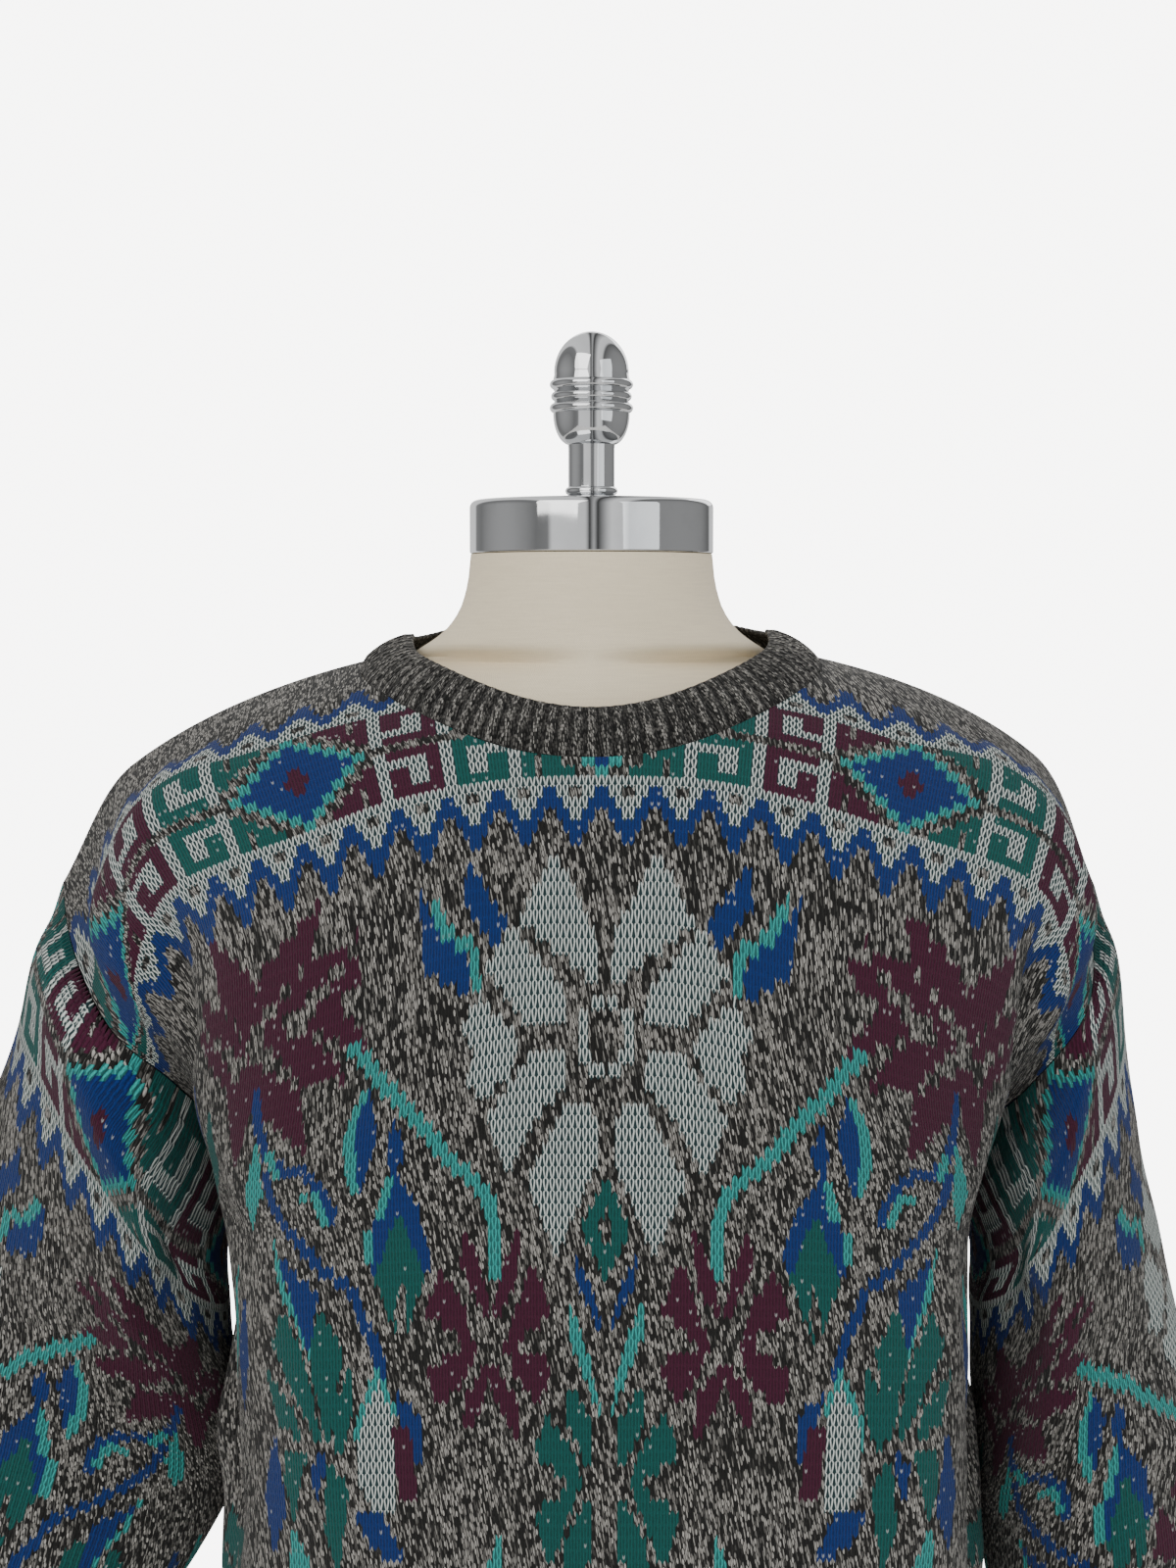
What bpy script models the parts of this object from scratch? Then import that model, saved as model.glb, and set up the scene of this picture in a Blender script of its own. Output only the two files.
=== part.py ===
"""Jacquard knit sweater worn by a limbless dress form on a turned metal stand.

Metres, +Z up, +X to the viewer's right, the chest faces -Y. The origin is the
centre of the base's underside. Each panel and rib is a closed wall of cloth:
outer points worked out from the section tables below, inner points one wall
thickness behind them, with a small gap at every seam.
"""
import bpy
import bmesh
import math
import numpy as np

# Cloth
WALL = 0.0022
SEAM_GAP = 0.0004
ARMHOLE_GAP = 0.0010
HALF_WIDTH = 0.305
NECK_HALF = 0.112
NECK_DROP_FRONT = 0.128
NECK_DROP_BACK = 0.066
RIDGE_T = 0.100
ARMPIT_T = -0.200
HEM_T = -0.545
RIDGE_Y = 0.012
BACK_DEPTH = 0.90

# Ribbed bands
COLLAR_HEIGHT = 0.028
COLLAR_RIBS = 52
HEM_HEIGHT = 0.065
HEM_RIBS = 84
CUFF_HEIGHT = 0.065
CUFF_RIBS = 22
RIB_RISE = 0.0013
HEM_DRAW = 0.91
CUFF_DRAW = 0.70
HEM_SWELL = 0.004
CUFF_SWELL = 0.003
COLLAR_SWELL = 0.002
COLLAR_LEAN_FRONT = 0.62
COLLAR_LEAN_BACK = 0.42
COLLAR_LEAN_SIDE = 0.88
RIB_SHAPE = (1.0, 0.0)

# Mesh fineness of the panels and sleeves
NECK_COLUMNS = 6
SHOULDER_COLUMNS = 8
LOWER_ROWS = 7
YOKE_ROWS = 12
SLEEVE_ROWS = 10

# Dress form and stand
FORM_GAP = 0.0012
NECK_TOP_Z = 1.459
CAP_RADIUS = 0.0605
CAP_HEIGHT = 0.0265
CAP_CROWN = 0.0015
FINIAL_HEIGHT = 0.0815
FINIAL_RINGS = ((0.0262, 0.0207), (0.0320, 0.0200), (0.0378, 0.0207))
FORM_BOTTOM_Z = 0.735
FLANGE_RADIUS = 0.032
COLLET_RADIUS = 0.030
POLE_RADIUS = 0.018
BASE_RADIUS = 0.200
BASE_HEIGHT = 0.020
PART_GAP = 0.0003

SECTION_COLUMNS = ("t", "front_y", "front_z", "corner_x", "corner_y", "corner_z",
                   "edge_x", "edge_y", "edge_z")

# One row for each section of the body, from the rib at the hem up to the
# shoulder ridge: t is the height in the cloth, then the middle of the front,
# the corner where the row turns, and its edge at the side seam or armhole.
LEFT_SECTIONS = (
    (-0.545, -0.142, 0.845, 0.152, -0.118, 0.845, 0.178, 0.000, 0.840),
    (-0.400, -0.145, 0.990, 0.150, -0.121, 0.988, 0.172, 0.000, 0.975),
    (-0.290, -0.150, 1.100, 0.152, -0.122, 1.090, 0.169, 0.000, 1.060),
    (-0.228, -0.153, 1.162, 0.160, -0.120, 1.143, 0.169, 0.000, 1.124),
    (-0.200, -0.153, 1.190, 0.165, -0.117, 1.160, 0.174, 0.000, 1.150),
    (-0.130, -0.152, 1.264, 0.178, -0.113, 1.207, 0.184, -0.032, 1.179),
    (-0.066, -0.142, 1.332, 0.189, -0.112, 1.266, 0.200, -0.068, 1.206),
    (0.000, -0.100, 1.383, 0.213, -0.082, 1.332, 0.228, -0.082, 1.234),
    (0.066, -0.036, 1.414, 0.224, -0.026, 1.346, 0.257, -0.026, 1.273),
    (0.100, 0.012, 1.420, 0.231, 0.012, 1.354, 0.267, 0.012, 1.294),
)
RIGHT_SECTIONS = (
    (-0.545, -0.142, 0.845, 0.162, -0.118, 0.845, 0.190, 0.000, 0.840),
    (-0.400, -0.145, 0.990, 0.162, -0.121, 0.988, 0.186, 0.000, 0.975),
    (-0.290, -0.150, 1.100, 0.162, -0.122, 1.090, 0.182, 0.000, 1.060),
    (-0.228, -0.153, 1.162, 0.166, -0.120, 1.143, 0.177, 0.000, 1.124),
    (-0.200, -0.153, 1.190, 0.172, -0.117, 1.160, 0.181, 0.000, 1.150),
    (-0.130, -0.152, 1.264, 0.186, -0.113, 1.207, 0.191, -0.032, 1.178),
    (-0.066, -0.142, 1.332, 0.203, -0.111, 1.266, 0.209, -0.066, 1.203),
    (0.000, -0.100, 1.383, 0.219, -0.078, 1.332, 0.234, -0.080, 1.240),
    (0.066, -0.036, 1.414, 0.220, -0.026, 1.352, 0.247, -0.026, 1.272),
    (0.100, 0.012, 1.420, 0.223, 0.012, 1.359, 0.254, 0.012, 1.293),
)

SLEEVE_COLUMNS = ("v", "outer_x", "outer_z", "inner_x", "inner_z", "front_y", "back_y")

# One row for each section of a sleeve below the armhole: v is the length down
# from the armhole, then the outer fold, the inner fold and the depth.
LEFT_SLEEVE = (
    (0.020, 0.2710, 1.275, 0.1830, 1.126, -0.090, 0.088),
    (0.070, 0.2850, 1.229, 0.1830, 1.080, -0.080, 0.074),
    (0.150, 0.3130, 1.154, 0.1780, 1.030, -0.060, 0.050),
    (0.270, 0.3550, 1.042, 0.1880, 0.975, -0.042, 0.036),
    (0.360, 0.3870, 0.957, 0.2380, 0.902, -0.036, 0.034),
    (0.440, 0.4150, 0.882, 0.3020, 0.841, -0.034, 0.034),
)
RIGHT_SLEEVE = (
    (0.020, 0.2570, 1.274, 0.1905, 1.126, -0.092, 0.090),
    (0.070, 0.265, 1.222, 0.192, 1.082, -0.088, 0.084),
    (0.150, 0.279, 1.145, 0.193, 1.025, -0.080, 0.068),
    (0.270, 0.306, 1.028, 0.197, 0.965, -0.070, 0.062),
    (0.360, 0.326, 0.940, 0.212, 0.890, -0.058, 0.052),
    (0.440, 0.344, 0.862, 0.234, 0.835, -0.038, 0.038),
)

FOLD_COLUMNS = ("s0", "t0", "s1", "t1", "width", "depth")

# The largest folds of the body, in cloth measures. A positive depth is a
# ridge and a negative one a trough.
LEFT_FOLDS = (
    (0.222, -0.025, 0.250, -0.120, 0.018, -0.010),
    (0.262, 0.045, 0.275, -0.070, 0.022, 0.008),
    (0.262, -0.235, 0.225, -0.420, 0.020, -0.012),
    (0.170, -0.215, 0.120, -0.400, 0.026, 0.005),
    (0.282, -0.250, 0.265, -0.500, 0.014, 0.010),
)
RIGHT_FOLDS = (
    (0.232, -0.030, 0.255, -0.120, 0.018, -0.010),
    (0.262, 0.040, 0.272, -0.075, 0.022, 0.007),
    (0.256, -0.235, 0.235, -0.440, 0.022, -0.012),
    (0.185, -0.220, 0.150, -0.430, 0.026, 0.005),
    (0.284, -0.260, 0.268, -0.480, 0.014, 0.009),
)

FORM_COLUMNS = ("z", "half_width", "front", "back", "middle_y", "power")

# Sections of the dress form's trunk and neck.
FORM_SECTIONS = (
    (0.735, 0.134, 0.086, 0.084, 0.006, 2.3),
    (0.745, 0.143, 0.095, 0.093, 0.006, 2.3),
    (0.830, 0.146, 0.100, 0.098, 0.006, 2.3),
    (0.960, 0.136, 0.098, 0.094, 0.008, 2.3),
    (1.060, 0.144, 0.108, 0.104, 0.008, 2.4),
    (1.160, 0.156, 0.126, 0.118, 0.006, 2.4),
    (1.230, 0.163, 0.126, 0.122, 0.006, 2.4),
    (1.290, 0.172, 0.118, 0.120, 0.008, 2.2),
    (1.330, 0.184, 0.110, 0.104, 0.012, 1.75),
)
NECK_SECTIONS = (
    (1.4135, 0.0840, 0.0700, 0.0620, 0.004, 1.70),
    (1.4200, 0.0745, 0.0655, 0.0610, 0.002, 1.90),
    (1.4290, 0.0670, 0.0620, 0.0600, 0.000, 2.0),
    (1.4420, 0.0622, 0.0610, 0.0610, 0.000, 2.0),
    (NECK_TOP_Z, 0.0600, 0.0600, 0.0600, 0.000, 2.0),
)
SHOULDER_STATIONS = 8
SHOULDER_TIP_X = 0.197
SHOULDER_ROOT_X = 0.100
SHOULDER_ROOT_FRONT = 0.0800
SHOULDER_ROOT_BACK = 0.0570
SHOULDER_INSET = 0.012
FORM_POINTS_ROUND = 40


def clear_scene():
    """Remove whatever the file holds."""
    for item in list(bpy.data.objects):
        bpy.data.objects.remove(item, do_unlink=True)


def spline(table, at):
    """Smooth curve through a table's rows; the first column is the place."""
    rows = np.asarray(table, dtype=float)
    place, value = rows[:, 0], rows[:, 1:]
    slope = np.gradient(value, place, axis=0)
    at = np.clip(np.atleast_1d(np.asarray(at, dtype=float)), place[0], place[-1])
    k = np.clip(np.searchsorted(place, at, side="right") - 1, 0, len(place) - 2)
    span = place[k + 1] - place[k]
    u = ((at - place[k]) / span)[:, None]
    span = span[:, None]
    return ((2 * u**3 - 3 * u**2 + 1) * value[k] + (u**3 - 2 * u**2 + u) * span * slope[k]
            + (3 * u**2 - 2 * u**3) * value[k + 1] + (u**3 - u**2) * span * slope[k + 1])


def unit(vector):
    """Vectors of length one along the last axis."""
    length = np.linalg.norm(vector, axis=-1, keepdims=True)
    return vector / np.maximum(length, 1e-12)


def smooth(value):
    """Ease from 0 to 1."""
    value = np.clip(value, 0.0, 1.0)
    return value * value * (3 - 2 * value)


def hermite(p, q, dp, dq, steps):
    """Points of one smooth stretch from p to q."""
    u = np.linspace(0.0, 1.0, steps)[:, None]
    return ((2 * u**3 - 3 * u**2 + 1) * p + (u**3 - 2 * u**2 + u) * dp
            + (3 * u**2 - 2 * u**3) * q + (u**3 - u**2) * dq)


def even(points, fractions):
    """Points at even shares of a polyline's length."""
    step = np.linalg.norm(np.diff(points, axis=0), axis=1)
    length = np.concatenate([[0.0], np.cumsum(step)])
    wanted = np.clip(fractions, 0.0, 1.0) * length[-1]
    return np.stack([np.interp(wanted, length, points[:, k]) for k in range(3)], axis=-1)


def body_row(sections, t, back):
    """One knitted row from the centre line to the side, for x > 0."""
    row = dict(zip(SECTION_COLUMNS[1:], spline(sections, t)[0]))
    centre = np.array([0.0, row["front_y"], row["front_z"]])
    corner = np.array([row["corner_x"], row["corner_y"], row["corner_z"]])
    edge = np.array([row["edge_x"], row["edge_y"], row["edge_z"]])
    if back:
        seam_y = RIDGE_Y * smooth((t - ARMPIT_T) / (RIDGE_T - ARMPIT_T))
        for point in (centre, corner, edge):
            point[1] = seam_y + (seam_y - point[1]) * BACK_DEPTH
    first, second = np.linalg.norm(corner - centre), np.linalg.norm(edge - corner)
    turn = unit((corner - centre) / first + (edge - corner) / second)
    side = np.array([0.0, -1.0 if back else 1.0, 0.0])
    lean = smooth((t - ARMPIT_T) / 0.05)
    leave = unit(side * (1 - lean) + unit(edge - corner) * lean)
    inner = hermite(centre, corner, np.array([first, 0.0, 0.0]), turn * first * 0.9, 28)
    outer = hermite(corner, edge, turn * second * 0.9, leave * second, 28)
    return np.concatenate([inner, outer[1:]])


def fold_depth(folds, s, t):
    """Height of the folds at a place in the cloth."""
    total = np.zeros_like(s)
    for row in folds:
        fold = dict(zip(FOLD_COLUMNS, row))
        from_s, from_t = s - fold["s0"], t - fold["t0"]
        along = np.array([fold["s1"] - fold["s0"], fold["t1"] - fold["t0"]])
        share = (from_s * along[0] + from_t * along[1]) / (along @ along)
        near = np.clip(share, 0.0, 1.0)
        away = np.hypot(from_s - near * along[0], from_t - near * along[1])
        taper = smooth(np.minimum(near, 1 - near) * 3.0)
        total = total + fold["depth"] * taper * np.exp(-(away / fold["width"]) ** 2)
    return total


def bare_cloth(s, t, back):
    """Places of cloth points before the folds."""
    s, t = np.asarray(s, dtype=float), np.asarray(t, dtype=float)
    out = np.zeros(s.shape + (3,))
    for place in np.ndindex(s.shape):
        side = 1.0 if s[place] >= 0 else -1.0
        sections = RIGHT_SECTIONS if side > 0 else LEFT_SECTIONS
        row = body_row(sections, t[place], back)
        point = even(row, np.array([abs(s[place]) / HALF_WIDTH]))[0]
        out[place] = point * (side, 1.0, 1.0)
    return out


def bare_normals(s, t, back):
    """Outward directions of the cloth before the folds."""
    step = 0.003
    s_low, s_high = np.maximum(s - step, -HALF_WIDTH), np.minimum(s + step, HALF_WIDTH)
    t_low, t_high = np.maximum(t - step, HEM_T), np.minimum(t + step, RIDGE_T)
    across = bare_cloth(s_high, t, back) - bare_cloth(s_low, t, back)
    along = bare_cloth(s, t_high, back) - bare_cloth(s, t_low, back)
    normal = unit(np.cross(across, along))
    return -normal if back else normal


def cloth(s, t, back):
    """Outer points of the body's cloth, with folds, and their directions."""
    place, normal = bare_cloth(s, t, back), bare_normals(s, t, back)
    right = fold_depth(RIGHT_FOLDS, np.abs(s), t)
    left = fold_depth(LEFT_FOLDS, np.abs(s), t)
    height = np.where(s >= 0, right, left)
    height = height * smooth((HALF_WIDTH - np.abs(s)) / 0.03)
    return place + normal * height[..., None], normal


def neck_t(s, back):
    """Height in the cloth of the neck edge at a distance from the centre."""
    drop = NECK_DROP_BACK if back else NECK_DROP_FRONT
    share = np.clip(np.abs(s) / NECK_HALF, 0.0, 1.0)
    return RIDGE_T - drop * np.sqrt(1 - share**2)


def panel_grid(back):
    """Cloth places of a panel's rows and columns."""
    angles = np.linspace(0.0, math.pi / 2, NECK_COLUMNS + 1)
    inner = NECK_HALF * np.sin(angles)
    outer = np.linspace(NECK_HALF, HALF_WIDTH, SHOULDER_COLUMNS + 1)[1:]
    half = np.concatenate([inner, outer])
    s = np.concatenate([-half[:0:-1], half])
    lower = np.linspace(HEM_T, ARMPIT_T, LOWER_ROWS + 1)
    share = np.linspace(0.0, 1.0, YOKE_ROWS + 1)[1:]
    top = np.where(np.abs(s) < NECK_HALF - 1e-9, neck_t(s, back), RIDGE_T)
    yoke = ARMPIT_T + share[:, None] * (top - ARMPIT_T)[None, :]
    t = np.concatenate([np.repeat(lower[:, None], len(s), axis=1), yoke])
    return np.repeat(s[None, :], len(t), axis=0), t


def wall(name, outer, inner, material, ring, flip=False):
    """Close a grid of outer and inner points into one solid wall."""
    rows, columns = outer.shape[:2]
    mesh = bpy.data.meshes.new(name)
    bm = bmesh.new()
    grids = [[[bm.verts.new(p) for p in row] for row in grid] for grid in (outer, inner)]
    spans = columns if ring else columns - 1
    for i in range(rows - 1):
        for j in range(spans):
            k = (j + 1) % columns
            for layer, grid in enumerate(grids):
                quad = [grid[i][j], grid[i][k], grid[i + 1][k], grid[i + 1][j]]
                bm.faces.new(quad if (layer == 0) != flip else quad[::-1])
    edge = [(0, j) for j in range(columns)]
    far = [(rows - 1, j) for j in range(columns)]
    if ring:
        strips = [edge + edge[:1], (far + far[:1])[::-1]]
    else:
        loop = edge + [(i, columns - 1) for i in range(1, rows)]
        loop += far[::-1][1:] + [(i, 0) for i in range(rows - 2, -1, -1)]
        strips = [loop]
    for strip in strips:
        for (a, b), (c, d) in zip(strip, strip[1:]):
            quad = [grids[0][c][d], grids[0][a][b], grids[1][a][b], grids[1][c][d]]
            bm.faces.new(quad if not flip else quad[::-1])
    bmesh.ops.triangulate(bm, faces=bm.faces[:], quad_method="SHORT_EDGE")
    bm.to_mesh(mesh)
    bm.free()
    mesh.shade_smooth()
    mesh.set_sharp_from_angle(angle=math.radians(50))
    return add_object(name, mesh, material)


def add_object(name, mesh, material):
    """Put a mesh in the part's collection."""
    mesh.materials.clear()
    mesh.materials.append(material)
    item = bpy.data.objects.new(name, mesh)
    PART.objects.link(item)
    return item


def finish_material(name, colour, roughness, metallic=0.0):
    """A Principled material."""
    material = bpy.data.materials.new(name)
    material.use_nodes = True
    shader = material.node_tree.nodes["Principled BSDF"]
    shader.inputs["Base Color"].default_value = (*colour, 1.0)
    shader.inputs["Roughness"].default_value = roughness
    shader.inputs["Metallic"].default_value = metallic
    return material


def sleeve_section(row, share):
    """One closed section of a sleeve, for x > 0, starting at its outer fold."""
    at = dict(zip(SLEEVE_COLUMNS, row))
    outer = np.array([at["outer_x"], 0.0, at["outer_z"]])
    inner = np.array([at["inner_x"], 0.0, at["inner_z"]])
    middle, reach = (outer + inner) / 2, (outer - inner) / 2
    angle = np.linspace(0.0, 2 * math.pi, 181)
    depth = np.where(np.sin(angle) > 0, at["front_y"], -at["back_y"])
    ring = middle + reach * np.cos(angle)[:, None]
    ring[:, 1] = depth * np.sin(angle)
    front, rear = ring[:91], ring[90:]
    first = even(front, np.clip(share * 2, 0, 1))
    second = even(rear, np.clip(share * 2 - 1, 0, 1))
    return np.where((share <= 0.5)[:, None], first, second)


def armhole(side, count):
    """The armhole's edge, from the ridge down the front and up the back."""
    share = np.arange(count) / count
    front = np.clip(share * 2, 0, 1)
    rear = np.clip(share * 2 - 1, 0, 1)
    t = np.where(share <= 0.5, RIDGE_T + (ARMPIT_T - RIDGE_T) * front,
                 ARMPIT_T + (RIDGE_T - ARMPIT_T) * rear)
    s = np.full(count, side * HALF_WIDTH)
    on_front = (share <= 0.5)[:, None]
    return np.where(on_front, bare_cloth(s, t, False), bare_cloth(s, t, True)), share


def sleeve_grid(side, rows, count):
    """Outer points of a sleeve from the armhole to the cuff seam."""
    loop, share = armhole(side, count)
    table = RIGHT_SLEEVE if side > 0 else LEFT_SLEEVE
    mirror = np.array([side, 1.0, 1.0])
    places = [0.0] + [row[0] for row in table]
    rings = [loop] + [sleeve_section(row, share) * mirror for row in table]
    flat = [[v] + list(ring.ravel()) for v, ring in zip(places, rings)]
    v = np.linspace(0.0, table[-1][0], rows + 1)
    v[0], v[-1] = ARMHOLE_GAP, table[-1][0] - SEAM_GAP / 2
    return spline(flat, v).reshape(rows + 1, count, 3)


def tube_normals(grid):
    """Outward directions of a tube's grid, by its neighbours."""
    across = np.roll(grid, -1, axis=1) - np.roll(grid, 1, axis=1)
    normal = unit(np.cross(across, np.gradient(grid, axis=0)))
    away = grid - grid.mean(axis=1, keepdims=True)
    return normal * np.sign((normal * away).sum())


def side_and_shoulder_directions(own, other, shoulder):
    """A panel's directions, shared with the other panel where the two meet."""
    mixed = own.copy()
    low = slice(0, LOWER_ROWS + 1)
    for column in (0, -1):
        mixed[low, column] = unit(own[low, column] + other[low, column])
    mixed[-1, shoulder] = unit(own[-1, shoulder] + other[-1, shoulder])
    return mixed


def share_armhole(directions, side):
    """Directions that the panels and a sleeve share round the armhole."""
    grid = sleeve_grid(side, SLEEVE_ROWS, 2 * YOKE_ROWS)
    column = -1 if side > 0 else 0
    front = directions[False][LOWER_ROWS:, column][::-1]
    rear = directions[True][LOWER_ROWS:, column]
    body = np.concatenate([front, rear[1:-1]])
    shared = unit(body + tube_normals(grid)[0])
    shared[YOKE_ROWS] = (0.0, 0.0, -1.0)
    directions[False][LOWER_ROWS:, column] = shared[:YOKE_ROWS + 1][::-1]
    directions[True][LOWER_ROWS:, column] = np.concatenate([shared[YOKE_ROWS:], shared[:1]])
    return shared


def share_neck(directions):
    """Directions that the panels and the collar share round the neck."""
    _, _, collar_normal = collar_rings()
    half = 2 * NECK_COLUMNS
    inside = slice(SHOULDER_COLUMNS, SHOULDER_COLUMNS + half + 1)
    front, rear = directions[False][-1, inside], directions[True][-1, inside][::-1]
    neck = unit(np.concatenate([front[:-1], rear[:-1]]) + collar_normal)
    directions[False][-1, inside] = neck[:half + 1]
    directions[True][-1, inside] = np.concatenate([neck[half:], neck[:1]])[::-1]
    return neck


def build_panels(material):
    """Front and back panels; returns the directions shared with the other pieces."""
    grids = {back: panel_grid(back) for back in (False, True)}
    plain = {back: cloth(*grids[back], back)[1] for back in (False, True)}
    shoulder = np.abs(grids[False][0][0]) >= NECK_HALF - 1e-9
    directions = {back: side_and_shoulder_directions(plain[back], plain[not back], shoulder)
                  for back in (False, True)}
    seams = {side: share_armhole(directions, side) for side in (-1, 1)}
    seams["neck"] = share_neck(directions)
    for back, name in ((False, "front_panel"), (True, "back_panel")):
        s, t = grids[back]
        s[:, 0] += SEAM_GAP / 2
        s[:, -1] -= SEAM_GAP / 2
        t[0] += SEAM_GAP / 2
        t[-1] -= SEAM_GAP / 2
        outer, _ = cloth(s, t, back)
        wall(name, outer, outer - directions[back] * WALL, material, False, flip=back)
    return seams


def rib_points(count):
    """Shares round a ribbed ring and the rise of each, two to a rib."""
    step = len(RIB_SHAPE)
    share = np.arange(count * step) / (count * step)
    return share, np.tile(np.array(RIB_SHAPE), count)


def ring_band(name, base, top, normal_base, normal_top, ribs, rows, material, swell=0.0):
    """A ribbed band between two rings, its ribs raised on the outside only."""
    share, rise = rib_points(ribs)
    closed = [np.concatenate([ring, ring[:1]]) for ring in (base, top, normal_base, normal_top)]
    place = np.linspace(0.0, 1.0, rows + 1)[:, None, None]
    spots = share * len(base)
    index = np.arange(len(base) + 1)
    b, u, nb, nt = [np.stack([np.interp(spots, index, ring[:, k]) for k in range(3)], axis=-1)
                    for ring in closed]
    normal = unit(nb * (1 - place) + nt * place)
    middle = b * (1 - place) + u * place + normal * swell * np.sin(math.pi * place)
    grip = smooth(np.minimum(place * 4 + 0.5, (1 - place) * 8 + 0.4))
    lift = grip * rise[None, :, None] * RIB_RISE
    wall(name, middle + normal * lift, middle - normal * WALL, material, True)


def neck_ring():
    """Neck edge of both panels, front from the left round to the back."""
    columns = 2 * NECK_COLUMNS + 1
    angles = np.linspace(-math.pi / 2, math.pi / 2, columns)
    s = NECK_HALF * np.sin(angles)
    front = bare_cloth(s, neck_t(s, False), False)
    rear = bare_cloth(s[::-1], neck_t(s, True)[::-1], True)
    return np.concatenate([front[:-1], rear[:-1]])


def collar_rings():
    """The collar's lower and upper edges and its outward directions."""
    ring = neck_ring()
    middle = ring.mean(axis=0)
    inward = unit((middle - ring) * (1.0, 1.0, 0.0))
    backness = smooth(0.5 - inward[:, 1:2] / 2)
    lean = COLLAR_LEAN_FRONT + (COLLAR_LEAN_BACK - COLLAR_LEAN_FRONT) * backness
    lean = lean + (COLLAR_LEAN_SIDE - lean) * smooth(inward[:, :1] ** 2)
    direction = inward * lean + np.array([0.0, 0.0, 1.0]) * np.sqrt(1 - lean**2)
    tangent = np.roll(ring, -1, axis=0) - np.roll(ring, 1, axis=0)
    normal = unit(np.cross(tangent, direction))
    return ring + direction * SEAM_GAP, ring + direction * COLLAR_HEIGHT, normal


def build_collar(seam, material):
    """Crew collar that stands up from the neck edge and leans inward."""
    base, top, normal = collar_rings()
    ring_band("collar_rib", base, top, seam, normal, COLLAR_RIBS, 3, material, COLLAR_SWELL)


def hem_ring():
    """Lower edge of both panels, front from left to right, then the back."""
    s, _ = panel_grid(False)
    s = s[0]
    level = np.full(len(s), HEM_T)
    front = cloth(s, level, False)[0]
    rear = cloth(s[::-1], level, True)[0]
    return np.concatenate([front[:-1], rear[:-1]])


def build_hem(material):
    """Hem rib, drawn in towards its lower edge."""
    ring = hem_ring()
    middle = ring.mean(axis=0)
    bottom = middle + (ring - middle) * (HEM_DRAW, HEM_DRAW, 0.0)
    bottom[:, 2] = middle[2] - HEM_HEIGHT
    top = ring - (0.0, 0.0, SEAM_GAP)
    tangent = np.roll(ring, -1, axis=0) - np.roll(ring, 1, axis=0)
    normal = unit(np.cross(tangent, top - bottom))
    level = unit(normal * (1.0, 1.0, 0.0))
    ring_band("hem_rib", bottom, top, normal, level, HEM_RIBS, 2, material, HEM_SWELL)


def build_sleeve(side, shared, material, rib_material):
    """A sleeve and its cuff."""
    word = "right" if side > 0 else "left"
    count = 2 * YOKE_ROWS
    outer = sleeve_grid(side, SLEEVE_ROWS, count)
    normal = tube_normals(outer)
    normal[0] = shared
    wall("sleeve_" + word, outer, outer - normal * WALL, material, True, flip=side < 0)
    end, before = outer[-1], outer[-2]
    axis = unit((end - before).mean(axis=0))
    middle = end.mean(axis=0)
    top = end + axis * SEAM_GAP
    bottom = middle + (end - middle) * CUFF_DRAW + axis * CUFF_HEIGHT
    rings = [bottom, top, normal[-1], normal[-1]]
    if side > 0:
        rings = [ring[::-1] for ring in rings]
    ring_band("cuff_" + word, *rings, CUFF_RIBS, 2, rib_material, CUFF_SWELL)


def turned(name, profile, material, segments):
    """A turned solid from a profile of radius and height, top to bottom."""
    mesh = bpy.data.meshes.new(name)
    points = [(r, 0.0, z) for r, z in profile]
    mesh.from_pydata(points, [(k, k + 1) for k in range(len(points) - 1)], [])
    item = add_object(name, mesh, material)
    screw = item.modifiers.new("Turn", "SCREW")
    screw.axis = "Z"
    screw.steps = screw.render_steps = segments
    screw.use_merge_vertices = True
    screw.merge_threshold = 0.00005
    screw.use_smooth_shade = True
    return item


def arc(centre_r, centre_z, radius_r, radius_z, start, end, steps):
    """Profile points on an ellipse, angles in degrees from the horizontal."""
    angles = np.radians(np.linspace(start, end, steps))
    return [(centre_r + radius_r * math.cos(a), centre_z + radius_z * math.sin(a)) for a in angles]


def ridge_height(x):
    """Height of the cloth's shoulder ridge above a distance from the axis."""
    heights = []
    for sections in (LEFT_SECTIONS, RIGHT_SECTIONS):
        row = body_row(sections, RIDGE_T, False)
        heights.append(np.interp(x, row[:, 0], row[:, 2]))
    return float(min(heights))


def form_sections():
    """All sections of the form: trunk, shoulders that carry the cloth, neck."""
    shoulder = []
    low = dict(zip(FORM_COLUMNS, FORM_SECTIONS[-1]))
    for share in np.linspace(0.0, 1.0, SHOULDER_STATIONS):
        width = SHOULDER_TIP_X + (SHOULDER_ROOT_X - SHOULDER_TIP_X) * share
        height = ridge_height(width) - WALL - FORM_GAP
        inset = SHOULDER_INSET * (1 - share)
        front = low["front"] + (SHOULDER_ROOT_FRONT - low["front"]) * share**1.2 - inset
        back = low["back"] + (SHOULDER_ROOT_BACK - low["back"]) * share**1.2 - inset
        power = 1.32 + 0.10 * math.cos(math.pi * share)
        shoulder.append((height, width, front, back, RIDGE_Y, power))
    return list(FORM_SECTIONS) + shoulder + list(NECK_SECTIONS)


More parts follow.
